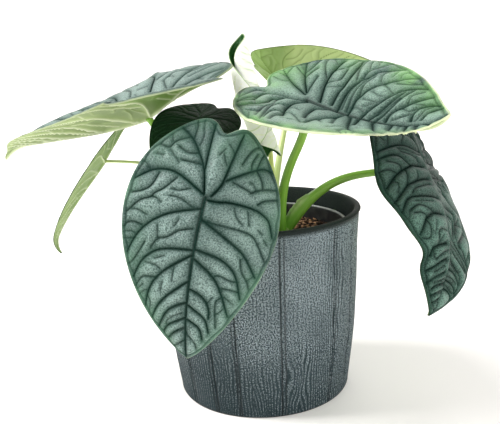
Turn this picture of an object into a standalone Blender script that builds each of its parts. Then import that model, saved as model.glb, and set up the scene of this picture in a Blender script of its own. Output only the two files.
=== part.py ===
"""Alocasia melo growing in its plank-patterned pot.

Eight quilted, shield-shaped blades stand on eight petioles, which rise from one short stem
in a nursery pot of bark soil, set in a decorative pot. Metres, +Z up. The origin is the
centre of the pot's base, and -Y is the front.
"""
import math

import bpy
import numpy as np

# Decorative pot: outer radius against share of its height, and the planks' widths in degrees.
# The lip's profile gives shares of the height and how far inside the lip's radius they lie.
POT_HEIGHT = 0.136
POT_OUTLINE = [(0.0, 0.0634), (0.15, 0.0662), (0.35, 0.0696), (0.60, 0.0716), (0.85, 0.0727), (0.96, 0.0741)]
POT_LIP_RADIUS = 0.0752
LIP_PROFILE = [(0.965, 0.0004), (0.985, 0.0), (1.0, 0.0012), (1.0, 0.0034), (0.98, 0.0052)]
INSIDE_SHARES = [0.85, 0.35]
PLANKS_END = 0.93
POT_WALL = 0.0048
POT_FLOOR = 0.006
POT_FOOT_CHAMFER = 0.0015
PLANK_WIDTHS = [21.5, 16.0, 25.5, 34.0, 19.0, 24.0, 17.0, 29.0,
                14.0, 22.0, 31.0, 18.0, 26.0, 15.0, 22.0, 26.0]
PLANK_STEP = 7.0
FIRST_GROOVE = -143.0
GROOVE_HALF_WIDTH = 0.0011
GROOVE_DEPTH = 0.0009

# Nursery pot and soil. The soil's waves are lumps round the pot, turn from ring to ring, height.
GAP = 0.0003
NURSERY_RIM_Z = 0.1245
NURSERY_RIM_RADIUS = 0.0655
NURSERY_FOOT_RADIUS = 0.0525
NURSERY_WALL = 0.0012
NURSERY_BEAD = 0.0012
BEAD_DEPTH = 0.004
BEAD_EASE = 0.0007
ROUND_SIDES = 40
SOIL_Z = 0.1165
SOIL_RINGS = 5
SOIL_WAVES = [(5, 2.1, 0.0008), (9, -1.3, 0.00056), (13, 1.0, 0.0004)]
FLAT_WAVE = 0.3
SOIL_SHOULDER = 0.003
SOIL_EDGE = 0.0015

# Short stem that carries the petioles
STEM_CENTRE = (0.010, 0.000)
STEM_RADIUS = 0.0155
STEM_FOOT_Z = 0.094
STEM_SHOULDER_Z = 0.118
STEM_TOP_Z = 0.1235
STEM_EASE = 0.003
STEM_FOOT_SHARE = 0.8
STEM_SHOULDER_SHARE = 0.93
STEM_TOP_SHARE = 0.72
FOOT_RING = 0.0108
FOOT_CORE = 0.0037
STRAIGHT_FOOT = 0.007
SOCKET_LENGTH = 0.012

# Blades and petioles. The quilt rises from the midrib, sinks towards the margin and puckers.
BLADE_THICKNESS = 0.0009
QUILT_HEIGHT = 0.0014
QUILT_FULL = 0.3
QUILT_DROP = 0.75
PUCKER = 0.15
PUCKER_WAVES = 2.5
ROW_SPREAD = 0.9
NORMAL_STEP = 0.004
MIDRIB_SOFTNESS = 0.05
KINK_SOFTNESS = 0.06
HOOK_FROM = 0.8
RIPPLE_RATE = 11.0
FOLD_STEPS = 16
SPINE_STEPS = 116
PETIOLE_SIDES = 8
PETIOLE_SECTIONS = 13
CUT_FROM = 0.85
SEAT_REACH = 0.05
TURN_FROM = [0.3, -0.9, 0.2]

# Outline of a flat blade, with the tip 1 from the petiole: side, tip, lobes and sinus
SIDE_RADIUS = 0.465
TIP_SHOULDER = 35.5
TIP_SHARPNESS = 1.1
LOBE_RADIUS = 0.035
LOBE_ANGLE = 166.0
LOBE_SPREAD = 22.0
SINUS_DEPTH = 0.09
SINUS_SPREAD = 9.0

# Veins of half a blade: those that fan from the petiole, by the angle where they end,
# and the laterals that leave the midrib from FIRST_LATERAL on
FAN_VEINS = [166.0, 140.0, 112.0, 82.0]
FIRST_LATERAL = 0.06
LAST_LATERAL = 0.76
LATERAL_END = 64.0
LATERAL_SWEEP = 1.5
VEIN_FORWARD = 0.25
VEIN_OUTWARD = 0.62

# Rolled young blade: curl of its outer and inner half at these places along the midrib
ROLL_AT = [-0.4, 0.0, 0.1, 0.3, 0.5, 0.7, 0.9]
OUTER_ROLL = [420.0, 400.0, 390.0, 400.0, 440.0, 520.0, 760.0]
INNER_ROLL = [480.0, 520.0, 530.0, 550.0, 600.0, 720.0, 1000.0]

SLATE = (0.085, 0.105, 0.125)
BLACK = (0.020, 0.020, 0.020)
BARK = (0.130, 0.070, 0.045)
STEM_GREEN = (0.200, 0.330, 0.090)
GREEN_TOP = (0.075, 0.155, 0.120)
GREEN_BACK = (0.230, 0.370, 0.130)
CREAM = (0.800, 0.840, 0.640)
PETIOLE_GREEN = (0.300, 0.500, 0.080)
PETIOLE_LIME = (0.550, 0.650, 0.120)

# Each leaf: size is petiole to tip; lobes and breadth scale the outline, and a nick or bulge
# in the margin has its half, angle, spread and share. At is the point that the petiole holds.
# Heading is the tip's compass angle from +X, pitch its rise, roll the lift of the left half.
# Fold and curl raise the halves (left, right) at the midrib and towards the margin, growth
# changes the fold towards the tip and the lobes. Bend turns the midrib up (towards the tip,
# more so at the tip, towards the lobes, at once behind the petiole), hook its last fifth.
# Wave is how high the margins ripple. Foot is the petiole's place on the stem, lean and arrive
# its directions at stem and blade, reach how far it keeps to each, seat its end's depth under
# the blade's middle.
LEAVES = {
    "front": dict(
        size=0.104, lobes=1.02, breadth=0.944, nicks=[], at=(-0.030, -0.100, 0.166),
        heading=-127.0, pitch=-62.0, roll=-19.0, fold=(-37.5, 3.5), growth=(-0.15, 0.0),
        curl=(-7.5, 13.5), bend=(-39.5, -4.0, -34.5, 0.0), hook=-2.5, twist=5.0, wave=(0.0, 0.0),
        phase=0.0, laterals=6, rows=6, colour=GREEN_TOP,
        foot=(-125.0, FOOT_RING), lean=(-125.0, 62.0), arrive=(-112.0, 10.0), reach=(0.045, 0.030),
        radius=(0.0034, 0.0026), seat=0.0014, petiole=PETIOLE_GREEN),
    "right_upper": dict(
        size=0.117, lobes=0.845, breadth=0.956, nicks=[], at=(0.036, -0.040, 0.213),
        heading=-47.0, pitch=-15.0, roll=19.5, fold=(18.5, 11.5), growth=(1.45, 0.0),
        curl=(-36.0, 19.0), bend=(8.0, 28.0, -3.5, 0.0), hook=25.0, twist=3.5, wave=(0.0, 0.0),
        phase=0.0, laterals=6, rows=6, colour=GREEN_TOP,
        foot=(-52.0, FOOT_RING), lean=(-40.0, 88.0), arrive=(-91.0, 66.0), reach=(0.050, 0.037),
        radius=(0.0034, 0.0030), seat=0.0009, petiole=PETIOLE_GREEN),
    "right_hanging": dict(
        size=0.115, lobes=0.98, breadth=0.960, nicks=[(1, 24.0, 7.0, -0.20), (1, 13.0, 5.0, 0.10)],
        at=(0.121, 0.000, 0.159),
        heading=-73.5, pitch=-45.5, roll=-62.5, fold=(25.0, -25.5), growth=(0.0, -0.06),
        curl=(-29.5, -65.5), bend=(6.0, -69.5, 12.5, 0.0), hook=23.5, twist=3.5, wave=(0.008, 0.02),
        phase=114.0, laterals=6, rows=6, colour=GREEN_TOP,
        foot=(0.0, 0.0100), lean=(2.0, 51.0), arrive=(-1.5, 3.0), reach=(0.048, 0.050),
        radius=(0.0042, 0.0026), seat=0.0014, petiole=PETIOLE_GREEN),
    "left_upper": dict(
        size=0.120, lobes=1.21, breadth=0.970, nicks=[], at=(-0.072, -0.018, 0.207),
        heading=165.0, pitch=-19.5, roll=-9.5, fold=(38.5, 53.5), growth=(-0.36, -1.11),
        curl=(-38.0, -113.0), bend=(39.5, -31.5, -37.0, 23.0), hook=-37.0, twist=4.5,
        wave=(0.0, 0.0), phase=0.0, laterals=6, rows=6, colour=GREEN_TOP,
        foot=(180.0, FOOT_RING), lean=(180.0, 50.0), arrive=(195.0, 60.0), reach=(0.055, 0.030),
        radius=(0.0032, 0.0023), seat=0.0014, petiole=PETIOLE_GREEN),
    "left_lower": dict(
        size=0.080, lobes=0.94, breadth=0.949, nicks=[], at=(-0.113, 0.020, 0.172),
        heading=202.0, pitch=-51.5, roll=13.5, fold=(12.5, 14.0), growth=(-0.10, 0.0),
        curl=(-2.0, -3.5), bend=(14.5, -31.0, 4.0, 0.0), hook=-53.0, twist=0.0, wave=(0.0, 0.0),
        phase=0.0, laterals=5, rows=4, colour=GREEN_BACK,
        foot=(125.0, FOOT_RING), lean=(160.0, 52.5), arrive=(169.0, 0.5), reach=(0.042, 0.053),
        radius=(0.0026, 0.0011), seat=0.0009, petiole=PETIOLE_GREEN),
    "middle": dict(
        size=0.059, lobes=1.0, breadth=0.955, nicks=[], at=(-0.035, -0.028, 0.205),
        heading=-117.5, pitch=-11.0, roll=-11.0, fold=(-4.0, 3.0), growth=(0.0, 0.0),
        curl=(-5.0, 2.0), bend=(-62.0, -1.0, 3.0, 0.0), hook=0.0, twist=-2.0, wave=(0.0, 0.0),
        phase=0.0, laterals=5, rows=4, colour=GREEN_TOP,
        foot=(200.0, FOOT_CORE), lean=(-150.0, 72.0), arrive=(-150.0, 55.0), reach=(0.040, 0.030),
        radius=(0.0022, 0.0018), seat=0.0009, petiole=PETIOLE_GREEN),
    "back": dict(
        size=0.087, lobes=0.965, breadth=0.959, nicks=[], at=(0.032, 0.070, 0.219),
        heading=-6.0, pitch=-13.0, roll=-32.5, fold=(14.0, 18.0), growth=(0.04, 0.0),
        curl=(4.0, 5.0), bend=(34.0, 2.0, 90.0, 0.0), hook=0.0, twist=-14.0, wave=(0.0, 0.0),
        phase=0.0, laterals=5, rows=4, colour=GREEN_BACK,
        foot=(80.0, FOOT_RING), lean=(77.0, 75.5), arrive=(78.0, 55.5), reach=(0.044, 0.030),
        radius=(0.0030, 0.0022), seat=0.0009, petiole=PETIOLE_GREEN),
    "young": dict(
        size=0.065, lobes=0.85, breadth=1.30, nicks=[(0, 145.0, 35.0, -0.35), (1, 140.0, 40.0, -0.35)],
        at=(0.008, 0.0115, 0.1965),
        heading=0.0, pitch=103.0, roll=65.0, fold=(0.0, 0.0), growth=(0.0, 0.0),
        curl=(OUTER_ROLL, INNER_ROLL), bend=(-6.0, 0.0, 0.0, 0.0), hook=0.0, twist=-20.0,
        wave=(0.0, 0.0), phase=0.0, laterals=4, rows=12, colour=CREAM,
        foot=(70.0, FOOT_CORE), lean=(80.0, 74.0), arrive=(250.0, 35.0), reach=(0.035, 0.012),
        radius=(0.0022, 0.0018), seat=0.0014, petiole=PETIOLE_LIME),
}


def clear_scene():
    """Remove every object, so that the script starts from nothing."""
    for thing in list(bpy.data.objects):
        bpy.data.objects.remove(thing, do_unlink=True)


def make_material(name, colour, roughness):
    """A plain finish: base colour and roughness, not metallic."""
    found = bpy.data.materials.get(name) or bpy.data.materials.new(name)
    found.use_nodes = True
    shader = found.node_tree.nodes["Principled BSDF"]
    shader.inputs["Base Color"].default_value = (*colour, 1.0)
    shader.inputs["Roughness"].default_value = roughness
    shader.inputs["Metallic"].default_value = 0.0
    found.diffuse_color = (*colour, 1.0)
    return found


def add_solid(name, vertices, faces, finish):
    """One named object from points and faces, with its material and smooth round faces."""
    mesh = bpy.data.meshes.new(name)
    mesh.from_pydata([tuple(map(float, v)) for v in vertices], [], faces)
    mesh.materials.append(finish)
    solid = bpy.data.objects.new(name, mesh)
    bpy.context.collection.objects.link(solid)
    mesh.shade_smooth()
    mesh.set_sharp_from_angle(angle=math.radians(40))
    return solid


def ring_faces(lower, upper, sides):
    """Quads between two rings of points that start at these indices."""
    quads = []
    for i in range(sides):
        j = (i + 1) % sides
        quads.append((lower + i, lower + j, upper + j, upper + i))
    return quads


def lathe(rings, sides):
    """Closed solid from a stack of rings: quads between them and a flat cap on each end."""
    vertices = [point for ring in rings for point in ring]
    faces = [tuple(reversed(range(sides)))]
    for k in range(len(rings) - 1):
        faces += ring_faces(k * sides, (k + 1) * sides, sides)
    last = (len(rings) - 1) * sides
    faces.append(tuple(range(last, last + sides)))
    return vertices, faces


def circle(radius, z, sides, centre=(0.0, 0.0)):
    """Ring of points round a centre; radius may be one number or one for each point."""
    turn = np.arange(sides) * 2 * math.pi / sides
    radius = np.broadcast_to(radius, (sides,))
    x, y = centre[0] + radius * np.cos(turn), centre[1] + radius * np.sin(turn)
    return np.stack([x, y, np.full(sides, z)], 1)


def pot_radius(z):
    """Outer radius of the decorative pot at a height."""
    heights = [share * POT_HEIGHT for share, _ in POT_OUTLINE]
    return float(np.interp(z, heights, [radius for _, radius in POT_OUTLINE]))


def make_pot(finish):
    """Tapered pot turned about Z, with a V groove between planks on the outside only."""
    half = math.degrees(GROOVE_HALF_WIDTH / POT_LIP_RADIUS)
    turns, depths = [], []
    start = FIRST_GROOVE
    for width in PLANK_WIDTHS:
        turns += [start - half, start]
        depths += [0.0, GROOVE_DEPTH]
        steps = round(width / PLANK_STEP)
        for step in range(steps):
            turns.append(start + half + (width - 2 * half) * step / steps)
            depths.append(0.0)
        start += width
    turns, depths = np.radians(turns), np.array(depths)

    def ring(radius, z, grooved):
        reach = radius - depths * grooved
        return np.stack([reach * np.cos(turns), reach * np.sin(turns), np.full(len(turns), z)], 1)

    rings = [ring(pot_radius(0.0) - POT_FOOT_CHAMFER, 0.0, 0)]
    rings.append(ring(pot_radius(POT_FOOT_CHAMFER), POT_FOOT_CHAMFER, 1))
    for share, radius in POT_OUTLINE[1:5]:
        rings.append(ring(radius, share * POT_HEIGHT, 1))
    rings.append(ring(pot_radius(PLANKS_END * POT_HEIGHT), PLANKS_END * POT_HEIGHT, 0))
    for share, inset in LIP_PROFILE:
        rings.append(ring(POT_LIP_RADIUS - inset, share * POT_HEIGHT, 0))
    for share in INSIDE_SHARES:
        rings.append(ring(pot_radius(share * POT_HEIGHT) - POT_WALL, share * POT_HEIGHT, 0))
    rings.append(ring(pot_radius(POT_FLOOR) - POT_WALL, POT_FLOOR, 0))
    vertices, faces = lathe(rings, len(turns))
    return add_solid("pot", vertices, faces, finish)


def nursery_radius(z):
    """Outer radius of the nursery pot at a height: a straight taper."""
    foot = POT_FLOOR + GAP
    share = (z - foot) / (NURSERY_RIM_Z - foot)
    return NURSERY_FOOT_RADIUS + (NURSERY_RIM_RADIUS - NURSERY_BEAD - NURSERY_FOOT_RADIUS) * share


def make_nursery_pot(finish):
    """Thin tapered plastic pot with a rolled bead at its rim, standing on the pot's floor."""
    foot = POT_FLOOR + GAP
    bead_z = NURSERY_RIM_Z - BEAD_DEPTH
    profile = [(NURSERY_FOOT_RADIUS, foot), (nursery_radius(bead_z), bead_z),
               (NURSERY_RIM_RADIUS, bead_z + BEAD_EASE),
               (NURSERY_RIM_RADIUS, NURSERY_RIM_Z - BEAD_EASE),
               (NURSERY_RIM_RADIUS - BEAD_EASE, NURSERY_RIM_Z),
               (nursery_radius(NURSERY_RIM_Z) - NURSERY_WALL, NURSERY_RIM_Z),
               (nursery_radius(SOIL_Z) - NURSERY_WALL, SOIL_Z),
               (nursery_radius(foot + NURSERY_WALL) - NURSERY_WALL, foot + NURSERY_WALL)]
    rings = [circle(radius, z, ROUND_SIDES) for radius, z in profile]
    vertices, faces = lathe(rings, ROUND_SIDES)
    return add_solid("nursery_pot", vertices, faces, finish)


def make_soil(finish):
    """Bark soil: fills the nursery pot, lumpy on top, with a plain hole where the stem stands."""
    foot = POT_FLOOR + GAP + NURSERY_WALL + GAP
    clear = GAP / math.cos(math.pi / ROUND_SIDES)
    hole = STEM_RADIUS + clear
    shoulder = SOIL_Z - SOIL_SHOULDER
    inside = [nursery_radius(z) - NURSERY_WALL - clear for z in (foot, shoulder)]
    rings = [circle(inside[0], foot, ROUND_SIDES), circle(inside[1], shoulder, ROUND_SIDES)]
    turn = np.arange(ROUND_SIDES) * 2 * math.pi / ROUND_SIDES
    for k in range(SOIL_RINGS):
        share = k / (SOIL_RINGS - 1)
        radius = (1 - share) * (inside[1] - SOIL_EDGE) + share * hole
        centre = (share * STEM_CENTRE[0], share * STEM_CENTRE[1])
        ring = circle(radius, SOIL_Z, ROUND_SIDES, centre)
        for lumps, drift, height in SOIL_WAVES:
            fade = FLAT_WAVE + (1 - FLAT_WAVE) * math.sin(math.pi * share)
            ring[:, 2] += height * fade * np.sin(lumps * turn + drift * k)
        rings.append(ring)
    rings.append(circle(hole, STEM_FOOT_Z - GAP, ROUND_SIDES, STEM_CENTRE))
    vertices, faces = lathe(rings, ROUND_SIDES)
    return add_solid("soil", vertices, faces, finish)


def outline_radius(angle):
    """Radius of the flat blade's edge at an angle in degrees from the tip (0) to the sinus (180)."""
    radius = SIDE_RADIUS + (1 - SIDE_RADIUS) * np.exp(-(angle / TIP_SHOULDER) ** TIP_SHARPNESS)
    radius = radius + LOBE_RADIUS * np.exp(-((angle - LOBE_ANGLE) / LOBE_SPREAD) ** 2)
    return radius - SINUS_DEPTH * np.exp(-((180 - angle) / SINUS_SPREAD) ** 2)


def vein_lines(laterals):
    """Starts on the midrib and end angles of half a blade's veins, from the tip to the sinus."""
    starts = np.linspace(LAST_LATERAL, FIRST_LATERAL, laterals)
    ends = LATERAL_END * (1 - starts) ** LATERAL_SWEEP
    starts = np.concatenate([[1.0], starts, np.zeros(len(FAN_VEINS))])
    ends = np.concatenate([[0.0], ends, FAN_VEINS[::-1]])
    return starts, ends


def half_grid(leaf, half):
    """Flat half blade (0 left, 1 right) in shares of its size, tip towards +x, margin towards +y.

    Columns follow the veins, with one between each two, and rows run from midrib to margin.
    A column is a quadratic curve that leaves the midrib and sweeps forward to the margin.
    Returns x, y and the quilt's height, from 0 on a vein to 1 on a crown.
    """
    starts, ends = vein_lines(leaf["laterals"])
    order = np.arange(len(starts))
    fine = np.arange(0, len(starts) - 0.5, 0.5)
    starts = np.append(np.interp(fine, order, starts), 0.0)
    ends = np.append(np.interp(fine, order, ends), 180.0)
    crown = np.append(np.abs(np.sin(math.pi * fine)), 1.0)
    crown[0] = 0.0
    radius = outline_radius(ends)
    radius = radius * (1 + (leaf["lobes"] - 1) * np.clip(-np.cos(np.radians(ends)), 0, 1))
    end_x = radius * np.cos(np.radians(ends))
    end_y = radius * np.sin(np.radians(ends)) * leaf["breadth"]
    for nick_half, angle, spread, share in leaf["nicks"]:
        if nick_half == half:
            end_y *= 1 + share * np.exp(-((ends - angle) / spread) ** 2)
    end_y[-1] = 0.0
    rows = np.linspace(0, 1, leaf["rows"] + 1) ** ROW_SPREAD
    s = rows[None, :]
    control_x = starts + VEIN_FORWARD * (end_x - starts)
    control_y = VEIN_OUTWARD * end_y
    x = ((1 - s) ** 2 * starts[:, None] + 2 * s * (1 - s) * control_x[:, None] + s ** 2 * end_x[:, None])
    y = 2 * s * (1 - s) * control_y[:, None] + s ** 2 * end_y[:, None]
    rise = np.clip(s / QUILT_FULL, 0, 1) * (1 - QUILT_DROP * s ** 4)
    rise = rise * (1 - PUCKER + PUCKER * np.cos(2 * math.pi * PUCKER_WAVES * s))
    return x, y, crown[:, None] * rise


def bent(x, y, leaf):
    """Flat blade to bent blade, in shares of its size: fold and curl across, then bend along."""
    side = np.where(y >= 0, 1.0, -1.0)
    across = np.abs(y)
    fold = np.radians(np.where(y >= 0, leaf["fold"][0], leaf["fold"][1]))
    left, right = (np.interp(x, ROLL_AT, np.broadcast_to(roll, len(ROLL_AT))) for roll in leaf["curl"])
    curl = np.radians(np.where(y >= 0, left, right))
    fold = fold * (1 + np.where(x > 0, leaf["growth"][0] * x, -leaf["growth"][1] * x))
    part = (np.arange(FOLD_STEPS) + 0.5) / FOLD_STEPS
    steps = across[..., None] * part
    slope = fold[..., None] * (1 - np.exp(-steps / MIDRIB_SOFTNESS)) + curl[..., None] * steps
    wide = np.cos(slope).mean(-1) * across * side
    high = np.sin(slope).mean(-1) * across
    wave = np.where(y >= 0, leaf["wave"][0], leaf["wave"][1])
    high = high + wave * (2 * across) ** 2 * np.sin(RIPPLE_RATE * x + math.radians(leaf["phase"]))
    twist = math.radians(leaf["twist"]) * x
    wide, high = wide * np.cos(twist) - high * np.sin(twist), wide * np.sin(twist) + high * np.cos(twist)
    along = np.linspace(-1.0, 1.3, SPINE_STEPS)
    tip, tip_more, lobes, kink = np.radians(leaf["bend"])
    slope = np.where(along > 0, tip * along + tip_more * along ** 2,
                     lobes * along - kink * (1 - np.exp(np.minimum(along, 0) / KINK_SOFTNESS)))
    slope = slope + math.radians(leaf["hook"]) * np.clip(along - HOOK_FROM, 0, None) / (1 - HOOK_FROM)
    step = along[1] - along[0]
    spine_x = np.concatenate([[0], np.cumsum((np.cos(slope[1:]) + np.cos(slope[:-1])) / 2 * step)])
    spine_z = np.concatenate([[0], np.cumsum((np.sin(slope[1:]) + np.sin(slope[:-1])) / 2 * step)])
    spine_x = spine_x - np.interp(0, along, spine_x)
    spine_z = spine_z - np.interp(0, along, spine_z)
    lean = np.interp(x, along, slope)
    far = np.interp(x, along, spine_x) - np.sin(lean) * high
    return np.stack([far, wide, np.interp(x, along, spine_z) + np.cos(lean) * high], -1)


def direction(angles):
    """Unit vector from a compass angle from +X and a rise, in degrees."""
    turn, rise = (math.radians(angle) for angle in angles)
    return np.array([math.cos(turn) * math.cos(rise), math.sin(turn) * math.cos(rise), math.sin(rise)])


def blade_axes(leaf):
    """Directions of the blade at its petiole, as columns: to the tip, to the left, upper side."""
    heading, roll = math.radians(leaf["heading"]), math.radians(leaf["roll"])
    tip = direction((leaf["heading"], leaf["pitch"]))
    level = np.array([-math.sin(heading), math.cos(heading), 0.0])
    upper = np.cross(tip, level)
    left = math.cos(roll) * level + math.sin(roll) * upper
    return np.stack([tip, left, np.cross(tip, left)], 1)


def blade_surface(x, y, leaf):
    """Point and unit normal of the bent blade's middle surface, in metres."""
    turn = blade_axes(leaf)
    e = NORMAL_STEP

    def spot(u, v):
        return bent(u, v, leaf) @ turn.T * leaf["size"] + np.array(leaf["at"])

    normal = np.cross(spot(x + e, y) - spot(x - e, y), spot(x, y + e) - spot(x, y - e))
    return spot(x, y), normal / np.linalg.norm(normal, axis=-1, keepdims=True)


def make_blade(name, leaf, finish):
    """Thin quilted solid: one grid split alike for both faces, and a wall round the margin."""
    left, right = half_grid(leaf, 0), half_grid(leaf, 1)
    columns, rows = left[0].shape
    flat = np.stack([np.concatenate([left[0].ravel(), right[0].ravel()]),
                     np.concatenate([left[1].ravel(), -right[1].ravel()])], 1)
    quilt = np.concatenate([left[2].ravel(), right[2].ravel()])
    keys = {}
    index = np.array([keys.setdefault((round(u, 6), round(abs(v) if abs(v) < 1e-9 else v, 6)), len(keys))
                      for u, v in flat])
    first = np.array([int(np.argmax(index == k)) for k in range(len(keys))])
    middle, normal = blade_surface(flat[first, 0], flat[first, 1], leaf)
    lift = quilt[first, None] * QUILT_HEIGHT
    top = middle + normal * (lift + BLADE_THICKNESS / 2)
    bottom = middle + normal * (lift - BLADE_THICKNESS / 2)
    upper = []
    for half in (0, 1):
        grid = index[half * columns * rows:(half + 1) * columns * rows].reshape(columns, rows)
        for c in range(columns - 1):
            for r in range(rows - 1):
                a, b, d, e = grid[c, r], grid[c, r + 1], grid[c + 1, r], grid[c + 1, r + 1]
                for triangle in ((a, b, e), (a, e, d)):
                    if len(set(triangle)) == 3:
                        upper.append(tuple(triangle) if half == 0 else tuple(reversed(triangle)))
    count = len(keys)
    edges = {}
    for i, j, k in upper:
        for edge in ((i, j), (j, k), (k, i)):
            edges[edge] = edges.get(edge, 0) + 1
    margin = [edge for edge in edges if (edge[1], edge[0]) not in edges]
    faces = [tuple(int(v) for v in face) for face in upper]
    faces += [tuple(int(v) + count for v in reversed(face)) for face in upper]
    for i, j in margin:
        faces.append((int(j), int(i), int(i) + count))
        faces.append((int(j), int(i) + count, int(j) + count))
    return add_solid("blade_" + name, np.concatenate([top, bottom]), faces, finish)


def petiole_foot(leaf):
    """Where the petiole's centre line starts, at the bottom of its socket in the stem."""
    turn, reach = math.radians(leaf["foot"][0]), leaf["foot"][1]
    return np.array([STEM_CENTRE[0] + reach * math.cos(turn), STEM_CENTRE[1] + reach * math.sin(turn),
                     STEM_SHOULDER_Z])


def make_stem(finish):
    """Short round stem in the soil, with one open socket for each petiole's foot."""
    profile = [(STEM_FOOT_SHARE * STEM_RADIUS, STEM_FOOT_Z), (STEM_RADIUS, STEM_FOOT_Z + STEM_EASE),
               (STEM_RADIUS, STEM_SHOULDER_Z),
               (STEM_SHOULDER_SHARE * STEM_RADIUS, STEM_SHOULDER_Z + STEM_EASE),
               (STEM_TOP_SHARE * STEM_RADIUS, STEM_TOP_Z)]
    rings = [circle(radius, z, ROUND_SIDES, STEM_CENTRE) for radius, z in profile]
    stem = add_solid("stem", *lathe(rings, ROUND_SIDES), finish)
    sockets = bpy.data.collections.new("sockets")
    bpy.context.scene.collection.children.link(sockets)
    for name, leaf in LEAVES.items():
        away = direction(leaf["lean"])
        foot = petiole_foot(leaf)
        across = np.cross(away, TURN_FROM)
        across /= np.linalg.norm(across)
        over = np.cross(away, across)
        turns = (np.arange(PETIOLE_SIDES) * 2 * math.pi / PETIOLE_SIDES)[:, None]
        radius = leaf["radius"][0] + GAP / math.cos(math.pi / PETIOLE_SIDES)
        rim = radius * (np.cos(turns) * across + np.sin(turns) * over)
        rings = [foot - away * GAP + rim, foot + away * SOCKET_LENGTH + rim]
        cutter = add_solid("socket_" + name, *lathe(rings, PETIOLE_SIDES), finish)
        cutter.hide_render = True
        cutter.display_type = "WIRE"
        bpy.context.collection.objects.unlink(cutter)
        sockets.objects.link(cutter)
    cut = stem.modifiers.new("sockets", "BOOLEAN")
    cut.operation = "DIFFERENCE"
    cut.operand_type = "COLLECTION"
    cut.collection = sockets
    return stem


def make_petiole(name, leaf, finish):
    """Round stalk along one cubic curve; its last section lies in the blade's plane."""
    away, arrive = direction(leaf["lean"]), direction(leaf["arrive"])
    turns = (np.arange(PETIOLE_SIDES) * 2 * math.pi / PETIOLE_SIDES)[:, None]
    near = SEAT_REACH * np.concatenate([np.cos(turns), np.sin(turns)], 1)
    upper = blade_surface(near[:, 0], near[:, 1], leaf)[1].mean(0)
    upper /= np.linalg.norm(upper)
    foot = petiole_foot(leaf)
    start = foot + away * STRAIGHT_FOOT
    end = np.array(leaf["at"]) - upper * leaf["seat"]
    controls = [start, start + away * leaf["reach"][0], end - arrive * leaf["reach"][1], end]
    s = np.linspace(0, 1, PETIOLE_SECTIONS)[:, None]
    path = ((1 - s) ** 3 * controls[0] + 3 * s * (1 - s) ** 2 * controls[1]
            + 3 * s ** 2 * (1 - s) * controls[2] + s ** 3 * controls[3])
    ahead = np.concatenate([[away], np.gradient(path, axis=0)])
    ahead[1], ahead[-1] = away, arrive
    path, shares = np.concatenate([[foot], path]), np.append(0.0, s)
    ahead /= np.linalg.norm(ahead, axis=1, keepdims=True)
    across = np.cross(away, TURN_FROM)
    rings = []
    wide, slim = leaf["radius"]
    for k, share in enumerate(shares):
        across = across - ahead[k] * (across @ ahead[k])
        across /= np.linalg.norm(across)
        over = np.cross(ahead[k], across)
        radius = slim + (wide - slim) * (1 - share) ** 2
        rim = radius * (np.cos(turns) * across + np.sin(turns) * over)
        cut = ahead[k] + (upper - ahead[k]) * np.clip((share - CUT_FROM) / (1 - CUT_FROM), 0, 1)
        rings.append(path[k] + rim - np.outer(rim @ cut / (ahead[k] @ cut), ahead[k]))
    vertices, faces = lathe(rings, PETIOLE_SIDES)
    return add_solid("petiole_" + name, vertices, faces, finish)


def main():
    """The pots, the soil and the stem, then each leaf's blade and petiole."""
    clear_scene()
    make_pot(make_material("slate_pot", SLATE, 0.75))
    make_nursery_pot(make_material("black_plastic", BLACK, 0.45))
    make_soil(make_material("bark_soil", BARK, 0.95))
    make_stem(make_material("stem", STEM_GREEN, 0.6))
    for name, leaf in LEAVES.items():
        make_blade(name, leaf, make_material("blade_" + name, leaf["colour"], 0.5))
        make_petiole(name, leaf, make_material("petiole_" + name, leaf["petiole"], 0.45))


main()
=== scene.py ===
"""Alocasia melo in its plank-patterned slate pot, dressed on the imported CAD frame.

The blades, stalks, pots, soil and stem are surfaces worked out with numpy from the same named
values as the solids, with the veins, quilting, ribs, grain and bark that the solids only outline.
Metres, +Z up. The origin is the centre of the pot's base, and -Y is the front.
"""
import math

import bpy
import numpy as np
from mathutils import Matrix


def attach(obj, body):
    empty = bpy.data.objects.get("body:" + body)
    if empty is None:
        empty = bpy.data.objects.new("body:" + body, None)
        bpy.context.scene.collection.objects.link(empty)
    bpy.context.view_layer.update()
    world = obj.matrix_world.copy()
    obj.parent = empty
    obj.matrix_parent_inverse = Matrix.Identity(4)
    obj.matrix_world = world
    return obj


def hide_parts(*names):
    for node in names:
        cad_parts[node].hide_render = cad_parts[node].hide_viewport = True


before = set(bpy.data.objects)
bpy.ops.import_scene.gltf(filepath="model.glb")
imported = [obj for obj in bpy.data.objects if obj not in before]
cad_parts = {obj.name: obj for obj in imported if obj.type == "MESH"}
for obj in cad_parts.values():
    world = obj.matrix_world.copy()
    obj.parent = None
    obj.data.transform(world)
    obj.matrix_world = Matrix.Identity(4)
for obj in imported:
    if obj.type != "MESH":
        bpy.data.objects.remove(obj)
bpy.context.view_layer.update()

# Camera of the photograph: place, compass turn, pitch and roll in radians, and lens in mm
CAMERA_AT = (0.0, -0.5171, 0.2577)
CAMERA_TURN = -0.01057
CAMERA_PITCH = 0.23795
CAMERA_ROLL = -0.04886
CAMERA_LENS = 52.06

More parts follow.
